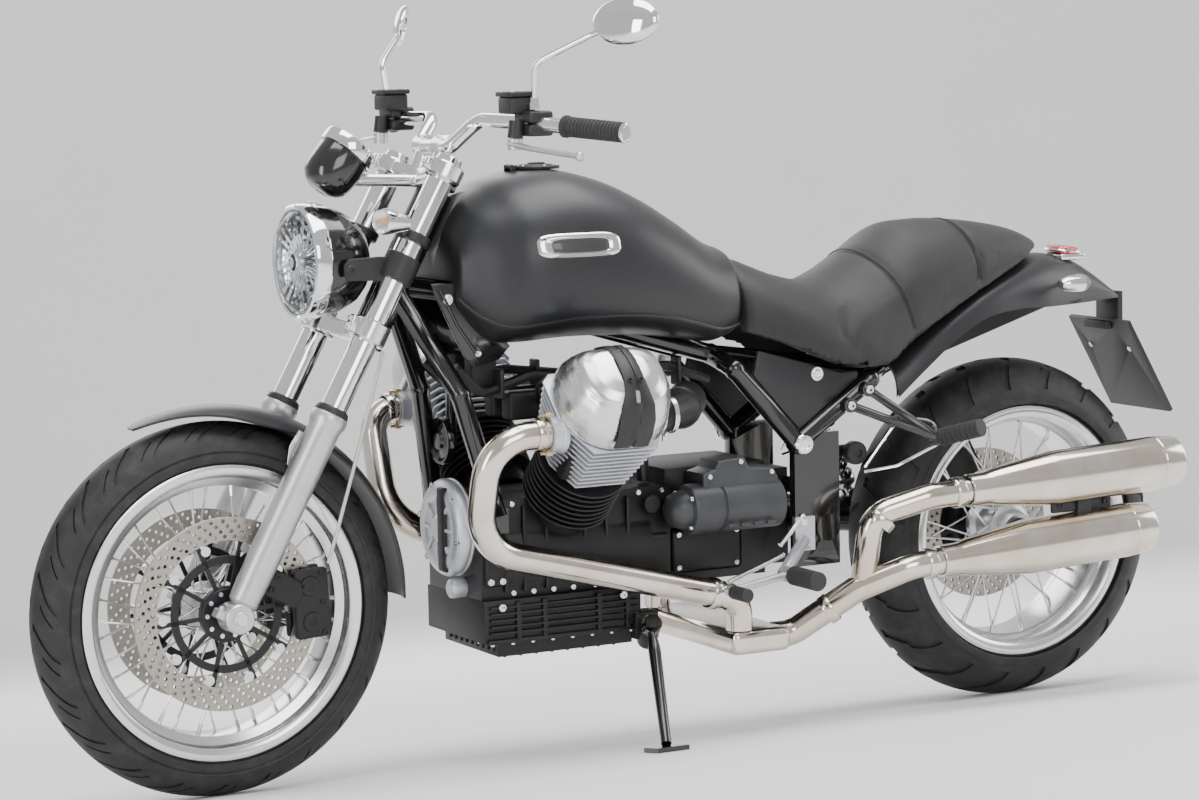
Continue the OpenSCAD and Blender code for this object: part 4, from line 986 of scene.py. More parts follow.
# ---- Front indicators -----------------------------------------------------------------------
# Bullet lamps: a chromed cup behind a clear ribbed lens with an amber bulb, on a short stalk
# from a clamp on each tube.
amber = Finish("amber_bulb", (0.85, 0.32, 0.03), Roughness=0.2)
amber.feed(Base_Color=amber.blend(amber.noise(200.0), (0.75, 0.25, 0.02), (0.9, 0.4, 0.05)))
prism = Finish("clear_lamp", (0.95, 0.94, 0.9), Roughness=0.05, Transmission_Weight=0.85, IOR=1.3)
px, py, pz = prism.split(prism.point())
ridge = abs((px * 330.0) % 1.0 - 0.5) + abs((pz * 330.0) % 1.0 - 0.5)
prism.feed(Roughness=0.04 + ridge * 0.1)
prism.relief(ridge, 0.0008, 0.8)
bullet = Matrix.Translation((1300, 154, 945)) @ Matrix.Rotation(math.radians(84), 4, "Y")
both(lambda: lathe("lens", [(21.6, 12), (19, 19), (16, 25), (10, 29), (0, 30.4)], 40),
    "front_indicator_lens", "steering",
     prism, "clear_lamp", "front_indicators", bullet)
both(lambda: lathe("cup", [(0, -34), (8, -33), (12.4, -30), (17, -12), (21.4, 6), (22, 12),
    (21, 13.5), (19.5, 11), (12, 4), (0, 2)],
                   40), "front_indicator_cup", "steering", chrome, "hard_chrome", None, bullet)
both(lambda: lathe("bulb", [(0, 3), (5, 4), (6.4, 9), (6, 15), (3.4, 19), (0, 20.4)], 24),
    "front_indicator_bulb",
     "steering", amber, "clear_lamp", None, bullet)
stalk_foot = (Matrix(fork) @ Vector((22, 118, 688)))
both(lambda: rod(stalk_foot, (1290, 150, 942), 5.8, 16), "front_indicator_stalk", "steering",
    moulding, "black_plastic")
for side, label in ((1, "left"), (-1, "right")):
    leg = fork @ Matrix.Translation((0, side * 102, 0))
    settle(lathe(f"front_indicator_clamp_{label}",
        [(22.7, 680), (27, 680), (28.4, 682), (28.4, 694), (27, 696), (22.7, 696)], 40,
                 closed=True), "steering", moulding, "black_plastic", None, leg)

# ---- Front mudguard -------------------------------------------------------------------------
# A moulded arch in the tank's dark matt finish. It comes to a beak in front, with a rolled
# edge, and bright brackets bolt it to the legs.
graphite = Finish("graphite_paint", (0.02, 0.021, 0.024), Metallic=0.35, Roughness=0.42,
    Coat_Weight=0.25, Coat_Roughness=0.35)
spark = graphite.noise(1500.0, 2.0, 0.5)
haze = graphite.noise(4.0, 3.0, 0.5)
graphite.feed(Base_Color=graphite.blend(spark.rise(0.35, 0.8), (0.010, 0.0105, 0.012),
    (0.034, 0.035, 0.039)),
              Roughness=0.36 + haze * 0.08 + spark * 0.06)
graphite.relief(spark, 0.00006, 0.4)


def arch(u, v):
    """u across, from edge to edge and back inside; v from the beak to the rear edge."""
    a = math.radians(66.6 + 114.8 * v)
    beak = min(1, 0.16 + 1.9 * v ** 0.75) * (1 if v < 0.9 else math.sqrt(max(1 - ((v - 0.9) / 0.1) ** 2 * 0.55, 0)))
    deep = 78 * beak * (0.84 + 0.16 * math.exp(-((v - 0.32) / 0.16) ** 2))
    outer = u < 0.5
    s = (u / 0.5 if outer else (1 - u) / 0.5) * 2 - 1
    w = math.radians(deep * s)
    grow = 0 if outer else 4.2
    lip = 1.8 * max(0, abs(s) - 0.9) * 10 if outer else 0
    r = 306 + (34 - grow) * math.cos(w) - (1 - beak) * 3
    y = (66 - grow * 0.7 + lip * 0.3) * math.sin(w) + lip * math.copysign(0.6, s)
    return (r * math.cos(a), y, r * math.sin(a))


def close_ends(obj):
    edit(obj)
    bpy.ops.mesh.select_all(action="DESELECT")
    bpy.ops.mesh.select_non_manifold()
    bpy.ops.mesh.fill_holes(sides=0)
    bpy.ops.mesh.select_all(action="SELECT")
    bpy.ops.mesh.normals_make_consistent(inside=False)
    return leave()


guard = moulded("front_mudguard", 72, 96, arch)
settle(close_ends(guard), "steering", graphite, "graphite_plastic", "front_fender", front_wheel, 50)


def guard_bracket():
    side_plate = plate("bracket", [(-34, 268), (20, 262), (30, 292), (26, 322), (-26, 322)], 0, 5,
        1.6)
    side_plate.data.transform(Matrix.Translation((0, 72.6, 0)) @ Matrix.Rotation(math.radians(90),
        4, "X"))
    tab = block("tab", (-26, 66, 300), (26, 76, 320), 2)
    heads = [screw((x, 72.6, z), (0, 1, 0), 4.6, 3.4) for x, z in ((-18, 284), (14, 280))]
    return joined("bracket", [side_plate, tab] + heads)


both(guard_bracket, "mudguard_bracket", "steering", bright, "polished_aluminium", None, fork)


# ---- Front calipers and cable ---------------------------------------------------------------
# Black cast calipers with four piston caps each, bolted behind the legs. A thin braided cable
# runs down the left leg to the wheel.
casting_black = Finish("black_casting", (0.02, 0.02, 0.022), Metallic=0.3, Roughness=0.48)
sand = casting_black.noise(520.0, 4.0, 0.65)
grime = casting_black.noise(14.0, 4.0, 0.6)
casting_black.feed(Base_Color=casting_black.blend(grime, (0.006, 0.006, 0.0065),
    (0.016, 0.016, 0.017)),
                   Roughness=0.34 + sand * 0.24)
casting_black.relief(sand, 0.0003, 0.6)


def caliper():
    turn = Matrix.Rotation(math.radians(-148), 4, "Y")
    body = [block("outer", (110, 71.5, -58), (173, 91, 58), 7, 4),
        block("inner", (110, 38.5, -58), (173, 52.5, 58), 5, 3),
            block("bridge", (166.5, 44, -46), (174, 86, 46), 3)]
    for z in (-30, 30):
        body.append(rod((138, 88, z), (138, 93.5, z), 19, 32, 16))
        body.append(screw((138, 93, z), (0, 1, 0), 9, 1.6))
    body += [screw((160, 90.5, z), (0, 1, 0), 5, 3.6) for z in (-50, 0, 50)]
    obj = joined("caliper", body)
    obj.data.transform(turn)
    arm = block("arm", (-96, 81, 54), (-28, 93.5, 100), 4)
    return joined("caliper", [obj, arm, screw((-40, 93, 66), (0, 1, 0), 6, 4),
        screw((-40, 93, 90), (0, 1, 0), 6, 4)])


both(caliper, "front_caliper", "steering", casting_black, "black_casting", "front_calipers", fork)
braid = Finish("cable_sheath", (0.6, 0.61, 0.62), Metallic=0.8, Roughness=0.34)
bx, by, bz = braid.split(braid.point())
weave = abs(((bz + bx) * 600.0) % 1.0 - 0.5) + abs(((bz - bx) * 600.0) % 1.0 - 0.5)
braid.feed(Base_Color=braid.blend(weave, (0.42, 0.43, 0.44), (0.74, 0.75, 0.76)))
braid.relief(weave, 0.0004, 0.6)
run = round_path([(-34, 108, 497.5), (-60, 116, 360), (-96, 108, 200), (-112, 94, 146)], [120, 40],
    10)
cable = settle(bent("speedometer_cable_braid", run, 3.2, 12), "steering", braid, "cable_sheath",
    "speedometer_cable", fork)
route = [tuple(stance @ millimetres @ fork @ point) for point in run]
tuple(route[0])
sum(math.dist(a, b) for a, b in zip(route, route[1:]))


# ---- Frame ----------------------------------------------------------------------------------
# Welded steel tube, sprayed gloss black. Chromed caps cover the swingarm's pivot bolts, and a
# black knob sets the spring's preload.
def refined(node, body, finish, slot, width=1.2, angle=35):
    """The CAD solid itself with merged faces and eased edges."""
    source = frame["nodes"][node]
    obj = bpy.data.objects.new(f"{node}_finished", source.data.copy())
    bpy.context.scene.collection.objects.link(obj)
    edit(obj)
    bpy.ops.mesh.remove_doubles(threshold=0.00002)
    bpy.ops.mesh.dissolve_limited(angle_limit=math.radians(0.5))
    leave()
    if width:
        ease = obj.modifiers.new("ease", "BEVEL")
        ease.width, ease.segments, ease.limit_method, ease.angle_limit = width / 1000, 2, "ANGLE", math.radians(50)
        bpy.ops.object.modifier_apply(modifier="ease")
    return settle(obj, body, finish, slot, node, angle=angle, laid=True)


refined("frame", "chassis", gloss, "black_paint", 0)


def pivot_cap():
    cap = lathe("cap", [(0, 0), (17, 0), (18, 2), (18, 7), (16, 9.4), (10, 10), (8, 8), (0, 8)], 40)
    heads = [screw((12.6 * math.cos(i), 12.6 * math.sin(i), 9.4), (0, 0, 1), 1.7, 1.2) for i in
             (k * math.pi / 3 for k in range(6))]
    obj = joined("cap", [cap] + heads)
    obj.data.transform(Matrix.Translation((510, 136, 520)) @ about_y)
    return obj


both(pivot_cap, "pivot_cap", "chassis", chrome, "hard_chrome")
knob_line = [(0, 0), (12, 0), (12, 18)] + [(20, 18), (21, 21), (21, 36), (19, 39), (8, 40), (7, 37),
    (0, 37)]
knob = lathe("preload_knob", knob_line, 14)
knob.data.transform(Matrix.Translation((392, 92, 494)) @ about_y)
knob_arm = block("knob_arm", (384, 84, 484), (500, 98, 506), 4)
settle(joined("preload_knob", [knob, knob_arm]), "chassis", moulding, "black_plastic", None,
    upright, 25)

# ---- Crankcase and sump ---------------------------------------------------------------------
# Sand-cast aluminium, painted black. Ribs stiffen the side walls, screws run round each joint,
# and the finned sump hangs underneath with its drain plug.
refined("engine_case", "chassis", casting_black, "black_casting", 2.5)
ribs, heads = [], []
for side in (1, -1):
    for x in (842, 884, 926, 1000, 1042, 1078):
        ribs.append(block("rib", (x, min(side * 100, side * 110), 306),
            (x + 7, max(side * 100, side * 110), 452), 2.4, 2))
    ribs.append(block("belt", (766, min(side * 99, side * 108), 372),
        (1120, max(side * 99, side * 108), 382), 2.6, 2))
    ribs.append(block("cover", (1084, min(side * 98, side * 114), 318),
        (1122, max(side * 98, side * 114), 404), 7, 3))
    ribs.append(block("gear_cover", (612, min(side * 84, side * 96), 306),
        (752, max(side * 84, side * 96), 384), 9, 3))
    heads += [screw((x, side * 114, z), (0, side, 0), 6, 4) for x,
        z in ((1092, 328), (1114, 328), (1092, 394), (1114, 394))]
    heads += [screw((x, side * 101, z), (0, side, 0), 5, 4) for x in (776, 822, 868, 910, 952, 990,
        1028, 1066)
              for z in (304, 456)]
    heads += [screw((x, side * 95, z), (0, side, 0), 5, 4) for x,
        z in ((624, 316), (740, 316), (624, 374), (740, 374))]
dip = lathe("dipstick", [(0, 0), (10, 0), (10, 12), (16, 14), (16, 22), (13, 24), (0, 24)], 12)
dip.data.transform(Matrix.Translation((802, 96, 436)) @ about_y)
settle(joined("crankcase_ribs", ribs + [dip]), "chassis", casting_black, "black_casting", None,
    upright)
settle(joined("crankcase_screws", heads), "chassis", wire, "spoke_steel", None, upright)
refined("engine_sump", "chassis", casting_black, "black_casting", 2)
fins, heads = [], []
for side in (1, -1):
    for z in (238, 249, 260, 271, 282):
        fins.append(block("fin", (834, min(side * 108, side * 121), z),
            (1118, max(side * 108, side * 121), z + 4), 1.2, 2))
    for x in (850, 905, 1010, 1060):
        fins.append(block("post", (x, min(side * 108, side * 120), 226),
            (x + 9, max(side * 108, side * 120), 292), 2, 2))
    fins.append(block("flange", (830, min(side * 100, side * 118), 221),
        (1122, max(side * 100, side * 118), 229), 2, 2))
    heads += [screw((x, side * 112, 221), (0, 0, -1), 4, 3) for x in range(846, 1120, 38)]
    heads += [screw((x, side * 119, z), (0, side, 0), 7, 4) for x, z in ((1096, 284), (864, 284))]
for x in range(868, 1090, 30):
    fins.append(block("keel", (x, -96, 193.5), (x + 5, 96, 200), 1.6, 2))
for y in range(-84, 90, 21):
    fins.append(block("bar", (1094, y, 204), (1101, y + 6, 290), 1.6, 2))
settle(joined("sump_fins", fins), "chassis", casting_black, "black_casting", None, upright)
plug = lathe("drain_plug", [(0, 0), (15, 0), (15, 4), (10, 5), (10, 11), (8, 12), (0, 12)], 6)
plug.data.transform(Matrix.Translation((1100, 40, 226)) @ Matrix.Rotation(math.pi / 2, 4, "Y"))
settle(joined("sump_screws", heads + [plug]), "chassis", wire, "spoke_steel", None, upright)


# ---- Cylinders and heads --------------------------------------------------------------------
# Two barrels at 45 degrees to each side, finned for the passing air, with heads whose fins
# taper towards the outer edge. The left bore stands ahead of the right by the crank's offset.
def bore(side):
    """A frame on a cylinder: Z out along the bore, Y down and out."""
    flip = upright if side > 0 else mirror
    return flip @ Matrix.Translation((962 if side > 0 else 1004, 0,
        362)) @ Matrix.Rotation(math.radians(-45), 4, "X")


def pair(make, name, finish, slot, node=None, angle=32):
    for side, label in ((1, "left"), (-1, "right")):
        obj = make()
        obj.data.transform(bore(side) @ obj.matrix_basis)
        obj.matrix_basis = upright
        if side < 0:
            edit(obj)
            bpy.ops.mesh.flip_normals()
            leave()
        settle(obj, "chassis", finish, slot, node if side > 0 else None, upright, angle,
            f"{name}_{label}")


barrel = [(0, 108), (60, 108)]
for k in range(8):
    z = 148 + 12 * k
    barrel += [(60, z), (78.6, z), (80, z + 1.4), (80, z + 2.6), (78.6, z + 4), (60, z + 4.4)]
barrel += [(60, 249), (0, 249)]
pair(lambda: lathe("barrel", barrel, 64), "cylinder_barrel", casting_black, "black_casting",
    "cylinder_barrels")
silver = Finish("head_casting", (0.62, 0.64, 0.68), Metallic=0.85, Roughness=0.42)
pores = silver.noise(800.0, 3.0, 0.6)
shade = silver.noise(22.0, 4.0, 0.6)
silver.feed(Base_Color=silver.blend(shade, (0.50, 0.52, 0.56), (0.68, 0.70, 0.74)),
    Roughness=0.34 + pores * 0.22)
silver.relief(pores, 0.00025, 0.5)


def head():
    parts = []
    for k in range(10):
        z = 251 + 12.6 * k
        wide, deep = 76 + 2.2 * k, 68 + 2.0 * k
        parts.append(plate("fin",
            [(-wide, -deep + 16), (-wide + 16, -deep), (wide - 16, -deep), (wide, -deep + 16),
                                   (wide, deep * 0.22), (wide * 0.62, deep), (-wide * 0.62, deep),
                                   (-wide, deep * 0.22)],
                           z, z + 4.4, 1.3, 2))
    port = lathe("port", [(24.6, 0), (31, 0), (33.4, 2), (33.4, 8), (31, 11), (31, 28), (24.6, 28)],
        40, closed=True)
    port.data.transform(Matrix.Translation((82, 16, 338)) @ Matrix.Rotation(math.pi / 2, 4, "Y"))
    return joined("head", parts + [port])


pair(head, "cylinder_head", silver, "cast_aluminium", "cylinder_heads")
# Painted shade: a black block inside the silver fins darkens the gaps between the head's fins.
pair(lambda: block("core", (-70, -66, 251), (70, 52, 371), 8), "head_fin_gap_shade", casting_black,
    "black_casting")
nut_brass = Finish("port_nut", (0.62, 0.5, 0.28), Metallic=1.0, Roughness=0.35)
nut_brass.feed(Base_Color=nut_brass.blend(nut_brass.noise(60.0), (0.45, 0.36, 0.2),
    (0.75, 0.62, 0.36)))
pair(lambda: joined("nuts", [screw((104, 16 + s * 22, 338 - s * 22), (1, 0, 0), 6.4,
    9) for s in (-1, 1)]
                    + [rod((96, 16 + s * 22, 338 - s * 22), (122, 16 + s * 22, 338 - s * 22), 3,
                        10) for s in (-1, 1)]),
     "port_nuts", nut_brass, "exhaust_steel")

# ---- Rocker covers --------------------------------------------------------------------------
# Domed aluminium covers, buffed bright, each held by a black strap with two screws. Four
# hollows at the corners clear the head screws.
cover_line = [(372, 0.975, 0.99), (376, 1, 1), (398, 1.0, 1.0), (413, 0.985, 0.97),
    (430, 0.93, 0.9), (446, 0.85, 0.81),
              (459, 0.74, 0.69), (468, 0.58, 0.54), (473, 0.38, 0.34), (474.4, 0.0, 0.0)]


def cover_spot(u, v):
    step = v * (len(cover_line) - 1)
    i = min(int(step), len(cover_line) - 2)
    z, sx, sy = (a + (b - a) * (step - i) for a, b in zip(cover_line[i], cover_line[i + 1]))
    a = 2 * math.pi * u
    c, s = math.cos(a), math.sin(a)
    squareness = 0.52
    x = 95 * math.copysign(abs(c) ** squareness, c)
    y = 85 * math.copysign(abs(s) ** squareness, s)
    if y > 0:
        x *= 1 - 0.3 * (y / 85) ** 2
    hollow = math.exp(-((abs(x) - 74) / 13) ** 2 - ((y + 4 - 40 * (1 if y > 0 else -1)) / 17) ** 2) * (372 < z < 452)
    return (x * sx * (1 - 0.10 * hollow), y * sy * (1 - 0.04 * hollow), z)


def rocker():
    dome = moulded("dome", 96, 45, cover_spot)
    screws = [screw((x, y, 392), (0, 0, 1), 6, 8) for x in (-74, 74) for y in (-52, 40)]
    return close_ends(joined("rocker", [dome] + screws))


buffed = Finish("buffed_aluminium", (0.78, 0.79, 0.8), Metallic=1.0, Roughness=0.26)
wheel_marks = buffed.noise(70.0, 4.0, 0.7, stretch=(0.2, 1, 1))
buffed.feed(Base_Color=buffed.blend(wheel_marks, (0.70, 0.71, 0.72), (0.84, 0.85, 0.86)),
    Roughness=0.16 + wheel_marks * 0.2)
buffed.relief(wheel_marks, 0.0001, 0.5)
pair(rocker, "rocker_cover", buffed, "polished_aluminium", "rocker_covers", 50)
strap_line = [(-87, 382), (-86.5, 404), (-78, 432), (-62, 455), (-42, 467), (-20, 473), (0, 474),
    (20, 473), (40, 467),
              (60, 454), (76, 434), (86, 408), (88, 384)]


def strap():
    def spot(u, v):
        """u round the strap's section, v along it."""
        i = round(v * (len(strap_line) - 1))
        y, z = strap_line[i]
        before, after = strap_line[max(i - 1, 0)], strap_line[min(i + 1, len(strap_line) - 1)]
        way = Vector((after[0] - before[0], after[1] - before[1])).normalized()
        out = Vector((-way.y, way.x))
        wide = 19 if v < 0.62 else 19 + 14 * min(1, (v - 0.62) / 0.16)
        corners = [(-wide, -3), (-wide, 2.6), (-wide + 2.4, 4.6), (-4, 4.6), (-3, 2.8), (3, 2.8),
            (4, 4.6), (wide - 2.4, 4.6),
                   (wide, 2.6), (wide, -3)]
        x, h = corners[round(u * (len(corners) - 1))] if u < 1 else corners[0]
        return (x, y + out.x * h, z + out.y * h)

    belt = close_ends(moulded("belt", 10, len(strap_line) - 1, spot))
    return joined("strap", [belt, screw((-10, 24, 474), (0, 0.3, 1), 5, 5),
        screw((10, 24, 474), (0, 0.3, 1), 5, 5),
                            rod((0, 56, 458), (0, 84, 402), 9, 20, 13)])


pair(strap, "rocker_strap", moulding, "black_plastic", None, 40)

# ---- Alternator cover, starter and horn -----------------------------------------------------
# The alternator sits on the crank's nose behind a bright cast cover. The starter is a dark
# grey drum with a ribbed shield, and a small horn faces the road.
nose = Matrix.Translation((1126.3, 0, 410)) @ Matrix.Rotation(math.pi / 2, 4, "Y")
cap_line = [(0, 34.5), (18, 34.5), (21, 32), (24, 29), (48, 28), (53, 31), (64, 32), (71, 30),
    (77, 26), (81, 21), (84, 15),
            (84, 9), (82, 7), (82, 4), (84, 2), (84, 0), (0, 0)]
cap = lathe("alternator_cover", cap_line, 96)
vanes = [block("vane", (24, -3, 26), (54, 3, 33), 1.6, 2) for k in range(8)]
for k, vane in enumerate(vanes):
    vane.data.transform(Matrix.Rotation(k * math.pi / 4, 4, "Z"))
tube = lathe("oil_tower", [(0, 28), (12, 28), (16, 25), (17, 20), (17, 0), (0, 0)], 40)
tube.data.transform(Matrix.Translation((100, 34, 0)))
settle(joined("alternator_cover_cast", [cap, tube] + vanes), "chassis", silver, "cast_aluminium",
    "alternator_cover", nose)
settle(joined("alternator_screws",
    [screw((74 * math.cos(a), 74 * math.sin(a), 28), (0.3 * math.cos(a), 0.3 * math.sin(a), 1),
                                          5,
                                          4) for a in (k * math.pi / 3 + 0.3 for k in range(6))]),
       "chassis", wire, "spoke_steel", None, nose)
settle(block("alternator_band", (-72, 6, 20), (72, 32, 35), 4), "chassis", casting_black,
    "black_casting", None, nose)
starter_grey = Finish("starter_grey", (0.05, 0.052, 0.056), Metallic=0.4, Roughness=0.42)
starter_grey.feed(Base_Color=starter_grey.blend(starter_grey.noise(20.0), (0.035, 0.037, 0.04),
    (0.07, 0.072, 0.078)),
                  Roughness=0.34 + starter_grey.noise(500.0) * 0.2)
drum = lathe("drum", [(0, 0), (38, 0), (43, 3), (44, 8), (44, 120), (41, 122), (41, 126), (44, 128),
    (44, 176), (42, 182),
    (34, 186), (32, 200), (28, 210), (18, 218), (0, 221)], 64)
drum.data.transform(Matrix.Translation((566, 136, 424)) @ Matrix.Rotation(math.pi / 2, 4, "Y"))
shield = plate("shield", [(576, 430), (716, 430), (724, 446), (724, 486), (700, 492), (694, 506),
    (640, 510), (632, 492),
                          (584, 488), (572, 470)], 0, 66, 6, 3)
shield.data.transform(Matrix.Translation((0, 158, 0)) @ Matrix.Rotation(math.radians(90), 4, "X"))
slots = [block("slot", (592 + 26 * k, 174, 392), (610 + 26 * k, 181, 398), 2) for k in range(4)]
settle(joined("starter_drum", [drum, shield] + slots), "chassis", starter_grey, "black_casting",
    "starter_motor", upright)
settle(joined("starter_screws", [screw((x, y, z), (1, 0, 0), 4.6, 5) for x, y,
    z in ((752, 168, 446), (752, 164, 396), (752, 108, 450))]
              + [screw((x, 158, z), (0, 1, 0), 4.6, 4) for x,
                  z in ((588, 480), (712, 480), (650, 502))]),
       "chassis", wire, "spoke_steel", None, upright)
horn = lathe("horn", [(0, 24), (14, 23), (18, 18), (30, 16), (36, 20), (40, 20), (41, 17), (41, 9),
    (36, 4), (20, 0), (0, 0)], 48)
horn.data.transform(Matrix.Translation((1104, -58, 552)) @ Matrix.Rotation(math.pi / 2, 4, "Y"))
settle(joined("horn_body", [horn, block("tab", (1092, -66, 546), (1106, -50, 640), 2)]), "chassis",
    gloss,
       "gloss_black_plastic", None, upright)


# ---- Coils, looms and hoses -----------------------------------------------------------------
# Black electrics tucked between the cylinders and below the tank: two ignition coils, the
# taped wiring loom on each side, and a breather hose behind each cylinder.
def electrics():
    coil = block("coil", (930, 16, 590), (1040, 50, 640), 7, 3)
    loom = bent("loom", round_path([(1148, 62, 690), (1096, 58, 640), (1000, 56, 668),
        (860, 66, 650), (740, 60, 668), (660, 70, 640)],
                                   [30, 40, 60, 40], 5), 9, 12)
    lead = bent("lead", round_path([(985, 50, 620), (1010, 96, 650), (1016, 150, 672),
        (1010, 190, 650)], [24, 24], 5), 4.2, 12)
    hose = bent("hose", round_path([(850, 96, 566), (812, 70, 600), (790, 58, 520), (786, 56, 470)],
        [26, 30], 5), 11, 16)
    box = block("regulator", (1060, 20, 642), (1110, 48, 706), 5, 3)
    clips = [block("clip", (x, 46, 632), (x + 8, 76, 682), 3, 2) for x in (1060, 930, 820, 716)]
    return joined("electrics", [coil, loom, lead, hose, box] + clips)


both(electrics, "electrics", "chassis", moulding, "black_plastic")

# ---- Throttle bodies ------------------------------------------------------------------------
# Black inlet throats behind the heads, on rubber sleeves with steel clips, with the idle
# screw's bright bracket.
refined("throttle_bodies", "chassis", casting_black, "black_casting", 1.5)
for side, label, head_back in ((1, "left", 863.7), (-1, "right", 905.7)):
    clips = []
    for along in (6, 30, 84):
        hoop = lathe("clip", [(29, -4), (31.4, -4), (31.4, 4),
            (29, 4)] if along < 60 else [(34.4, -4), (36, -4), (36, 4),
                     (34.4, 4)], 40, closed=True)
        y = 236 if along < 60 else 178
        z = 604 if along < 60 else 607
        hoop.data.transform(Matrix.Translation((head_back - along, side * y,
            z)) @ Matrix.Rotation(math.pi / 2, 4, "Y")
                            @ Matrix.Rotation(0 if along < 60 else side * -0.75, 4, "X"))
        clips.append(hoop)
    clips += [block("bracket", (head_back - 24, side * 240 - 3, 560),
        (head_back - 14, side * 240 + 3, 640), 1.5, 2),
              screw((head_back - 19, side * 244, 632), (0, side, 0), 5),
                  screw((head_back - 19, side * 244, 572), (0, side, 0), 5)]
    settle(joined(f"throttle_clips_{label}", clips), "chassis", wire, "spoke_steel", None, upright)


# ---- Exhaust --------------------------------------------------------------------------------
# Mandrel-bent stainless pipe, polished and a little straw-tinted where it runs hot. The two
# headers meet in a box below the gearbox and leave it for two stacked silencers on the left.
stainless = Finish("exhaust_steel", (0.66, 0.62, 0.56), Metallic=1.0, Roughness=0.13)
haze = stainless.noise(9.0, 4.0, 0.6)
brush = stainless.noise(80.0, 4.0, 0.7, stretch=(0.12, 1, 1))
stainless.feed(Base_Color=stainless.blend(haze.rise(0.35, 0.7), (0.66, 0.58, 0.47),
    (0.78, 0.75, 0.70)),
               Roughness=0.07 + brush * 0.16)
stainless.relief(brush, 0.00006, 0.4)
pipes = []
for side, front, reach, first, second in ((1, 1072.3, 1176, 72, 100), (-1, 1114.3, 1164, 46, 92)):
    run = round_path([(front, side * 250.3, 589.7), (reach, side * 250.3, 589.7),
        (reach, side * 190, 398),
                      (650, side * 146, 262), (650, side * 146, 206)], [first, second, 40], 12)
    pipes.append(bent("header", run, 23.9, 32))
    for at, way in (((706, side * 150.5, 276), (-508, side * -44, -128)),
        ((front + 16, side * 250, 590.4), (1, 0, 0))):
        collar = lathe("collar",
            [(23.5, -8), (26.6, -8), (27.6, -6), (27.6, 6), (26.6, 8), (23.5, 8)], 40, closed=True)
        collar.data.transform(Matrix.Translation(at) @ Vector(way).to_track_quat("Z",
            "Y").to_matrix().to_4x4())
        pipes.append(collar)
settle(joined("exhaust_header_pipes", pipes), "chassis", stainless, "exhaust_steel",
    "exhaust_headers", upright, 40)

split = Vector((426, 180, 262))
low_front, low_rear = Vector((289.5, 233.5, 304)), Vector((-145, 256, 332))
high_front, high_rear = Vector((233.5, 240, 426)), Vector((-205, 259, 449))
low_way, high_way = (low_rear - low_front).normalized(), (high_rear - high_front).normalized()
muffle = [block("crossover", (557, -171, 163), (675, 171, 205.6), 13, 4)]
muffle.append(bent("lower", round_path([(570, 122, 184), (530, 122, 184), split,
    low_front - low_way * 56,
                                        low_front - low_way * 0.3], [40, 60, 60], 10), 23.9, 32))
muffle.append(bent("upper", round_path([split - Vector((10, 0, 0)), (412, 204, 392),
    high_front - high_way * 80,
                                        high_front - high_way * 0.3], [50, 50], 10), 22.9, 32))
for at, way in ((low_front - low_way * 22, low_way), (high_front - high_way * 22, high_way),
                ((470, 153, 226), (-96, 58, 78)), ((398, 210, 384), (-0.6, 0.2, 0.75))):
    collar = lathe("collar", [(22.5, -9), (26.4, -9), (27.4, -7), (27.4, 7), (26.4, 9), (22.5, 9)],
        40, closed=True)
    collar.data.transform(Matrix.Translation(at) @ Vector(way).to_track_quat("Z",
        "Y").to_matrix().to_4x4())
    muffle.append(collar)
settle(joined("exhaust_link_pipes", muffle), "chassis", stainless, "exhaust_steel",
    "exhaust_collector", upright, 40)
soot = Finish("pipe_soot", (0.03, 0.027, 0.025), Roughness=0.85)
soot.feed(Base_Color=soot.blend(soot.noise(70.0), (0.018, 0.016, 0.015), (0.05, 0.045, 0.04)))
for label, a, b in (("lower", low_front, low_rear), ("upper", high_front, high_rear)):
    n = (b - a).length
    aim = Matrix.Translation(a) @ (b - a).to_track_quat("Z", "Y").to_matrix().to_4x4()
    can = lathe(f"silencer_{label}",
        [(24.6, 0), (28, 0), (29, 1), (29, 34), (29.6, 40), (33, 54), (48, 172), (49, 178),
        (49, n - 48),
        (47.8, n - 46), (47.8, n - 44), (48.6, n - 42), (45, n - 3), (44, n), (40, n), (38, n - 4),
        (37, n - 40), (24.6, n - 40)],
                96, closed=True)
    settle(can, "chassis", stainless, "exhaust_steel", "silencers" if label == "lower" else None,
        aim, 20)
    settle(lathe(f"silencer_throat_{label}",
        [(0, n - 60), (36.6, n - 60), (36.6, n - 12), (20, n - 40), (0, n - 40)], 64), "chassis",
           soot, "exhaust_steel", None, aim)
hang = [block("bar", (-70, 246, 372), (60, 254, 398), 3),
    block("drop", (-20, 240, 360), (8, 262, 412), 4)]
settle(joined("silencer_hanger", hang + [screw((x, 254, 386), (0, 1, 0), 6, 4) for x in (-56, 44)]),
    "chassis", moulding,
       "black_plastic", None, upright)


# ---- Fuel tank ------------------------------------------------------------------------------
# Pressed from two sheet steel halves, seam-welded, and sprayed in satin graphite. A tunnel
# below straddles the frame. Each flank has a chromed lozenge with a plain red oval.
def along(rows, v):
    """A smooth line through rows of numbers, v from 0 to 1."""
    t = v * (len(rows) - 1)
    i = min(int(t), len(rows) - 2)
    f = t - i
    near = [rows[max(i - 1, 0)], rows[i], rows[i + 1], rows[min(i + 2, len(rows) - 1)]]
    return [q + 0.5 * f * (r - p + f * (2 * p - 5 * q + 4 * r - s + f * (3 * (q - r) + s - p))) for p, q, r, s in zip(*near)]


def signed(value, power):
    return math.copysign(abs(value) ** power, value)


tank_lines = [(612, 118, 864, 716), (664, 140, 884, 702), (733, 162, 929, 712),
    (800, 178, 968, 722), (870, 188, 998, 727),
              (956, 190, 1016, 728), (1040, 182, 1006, 724), (1086, 160, 986, 728),
              (1124, 128, 962, 752),
              (1156, 98, 918, 796)]


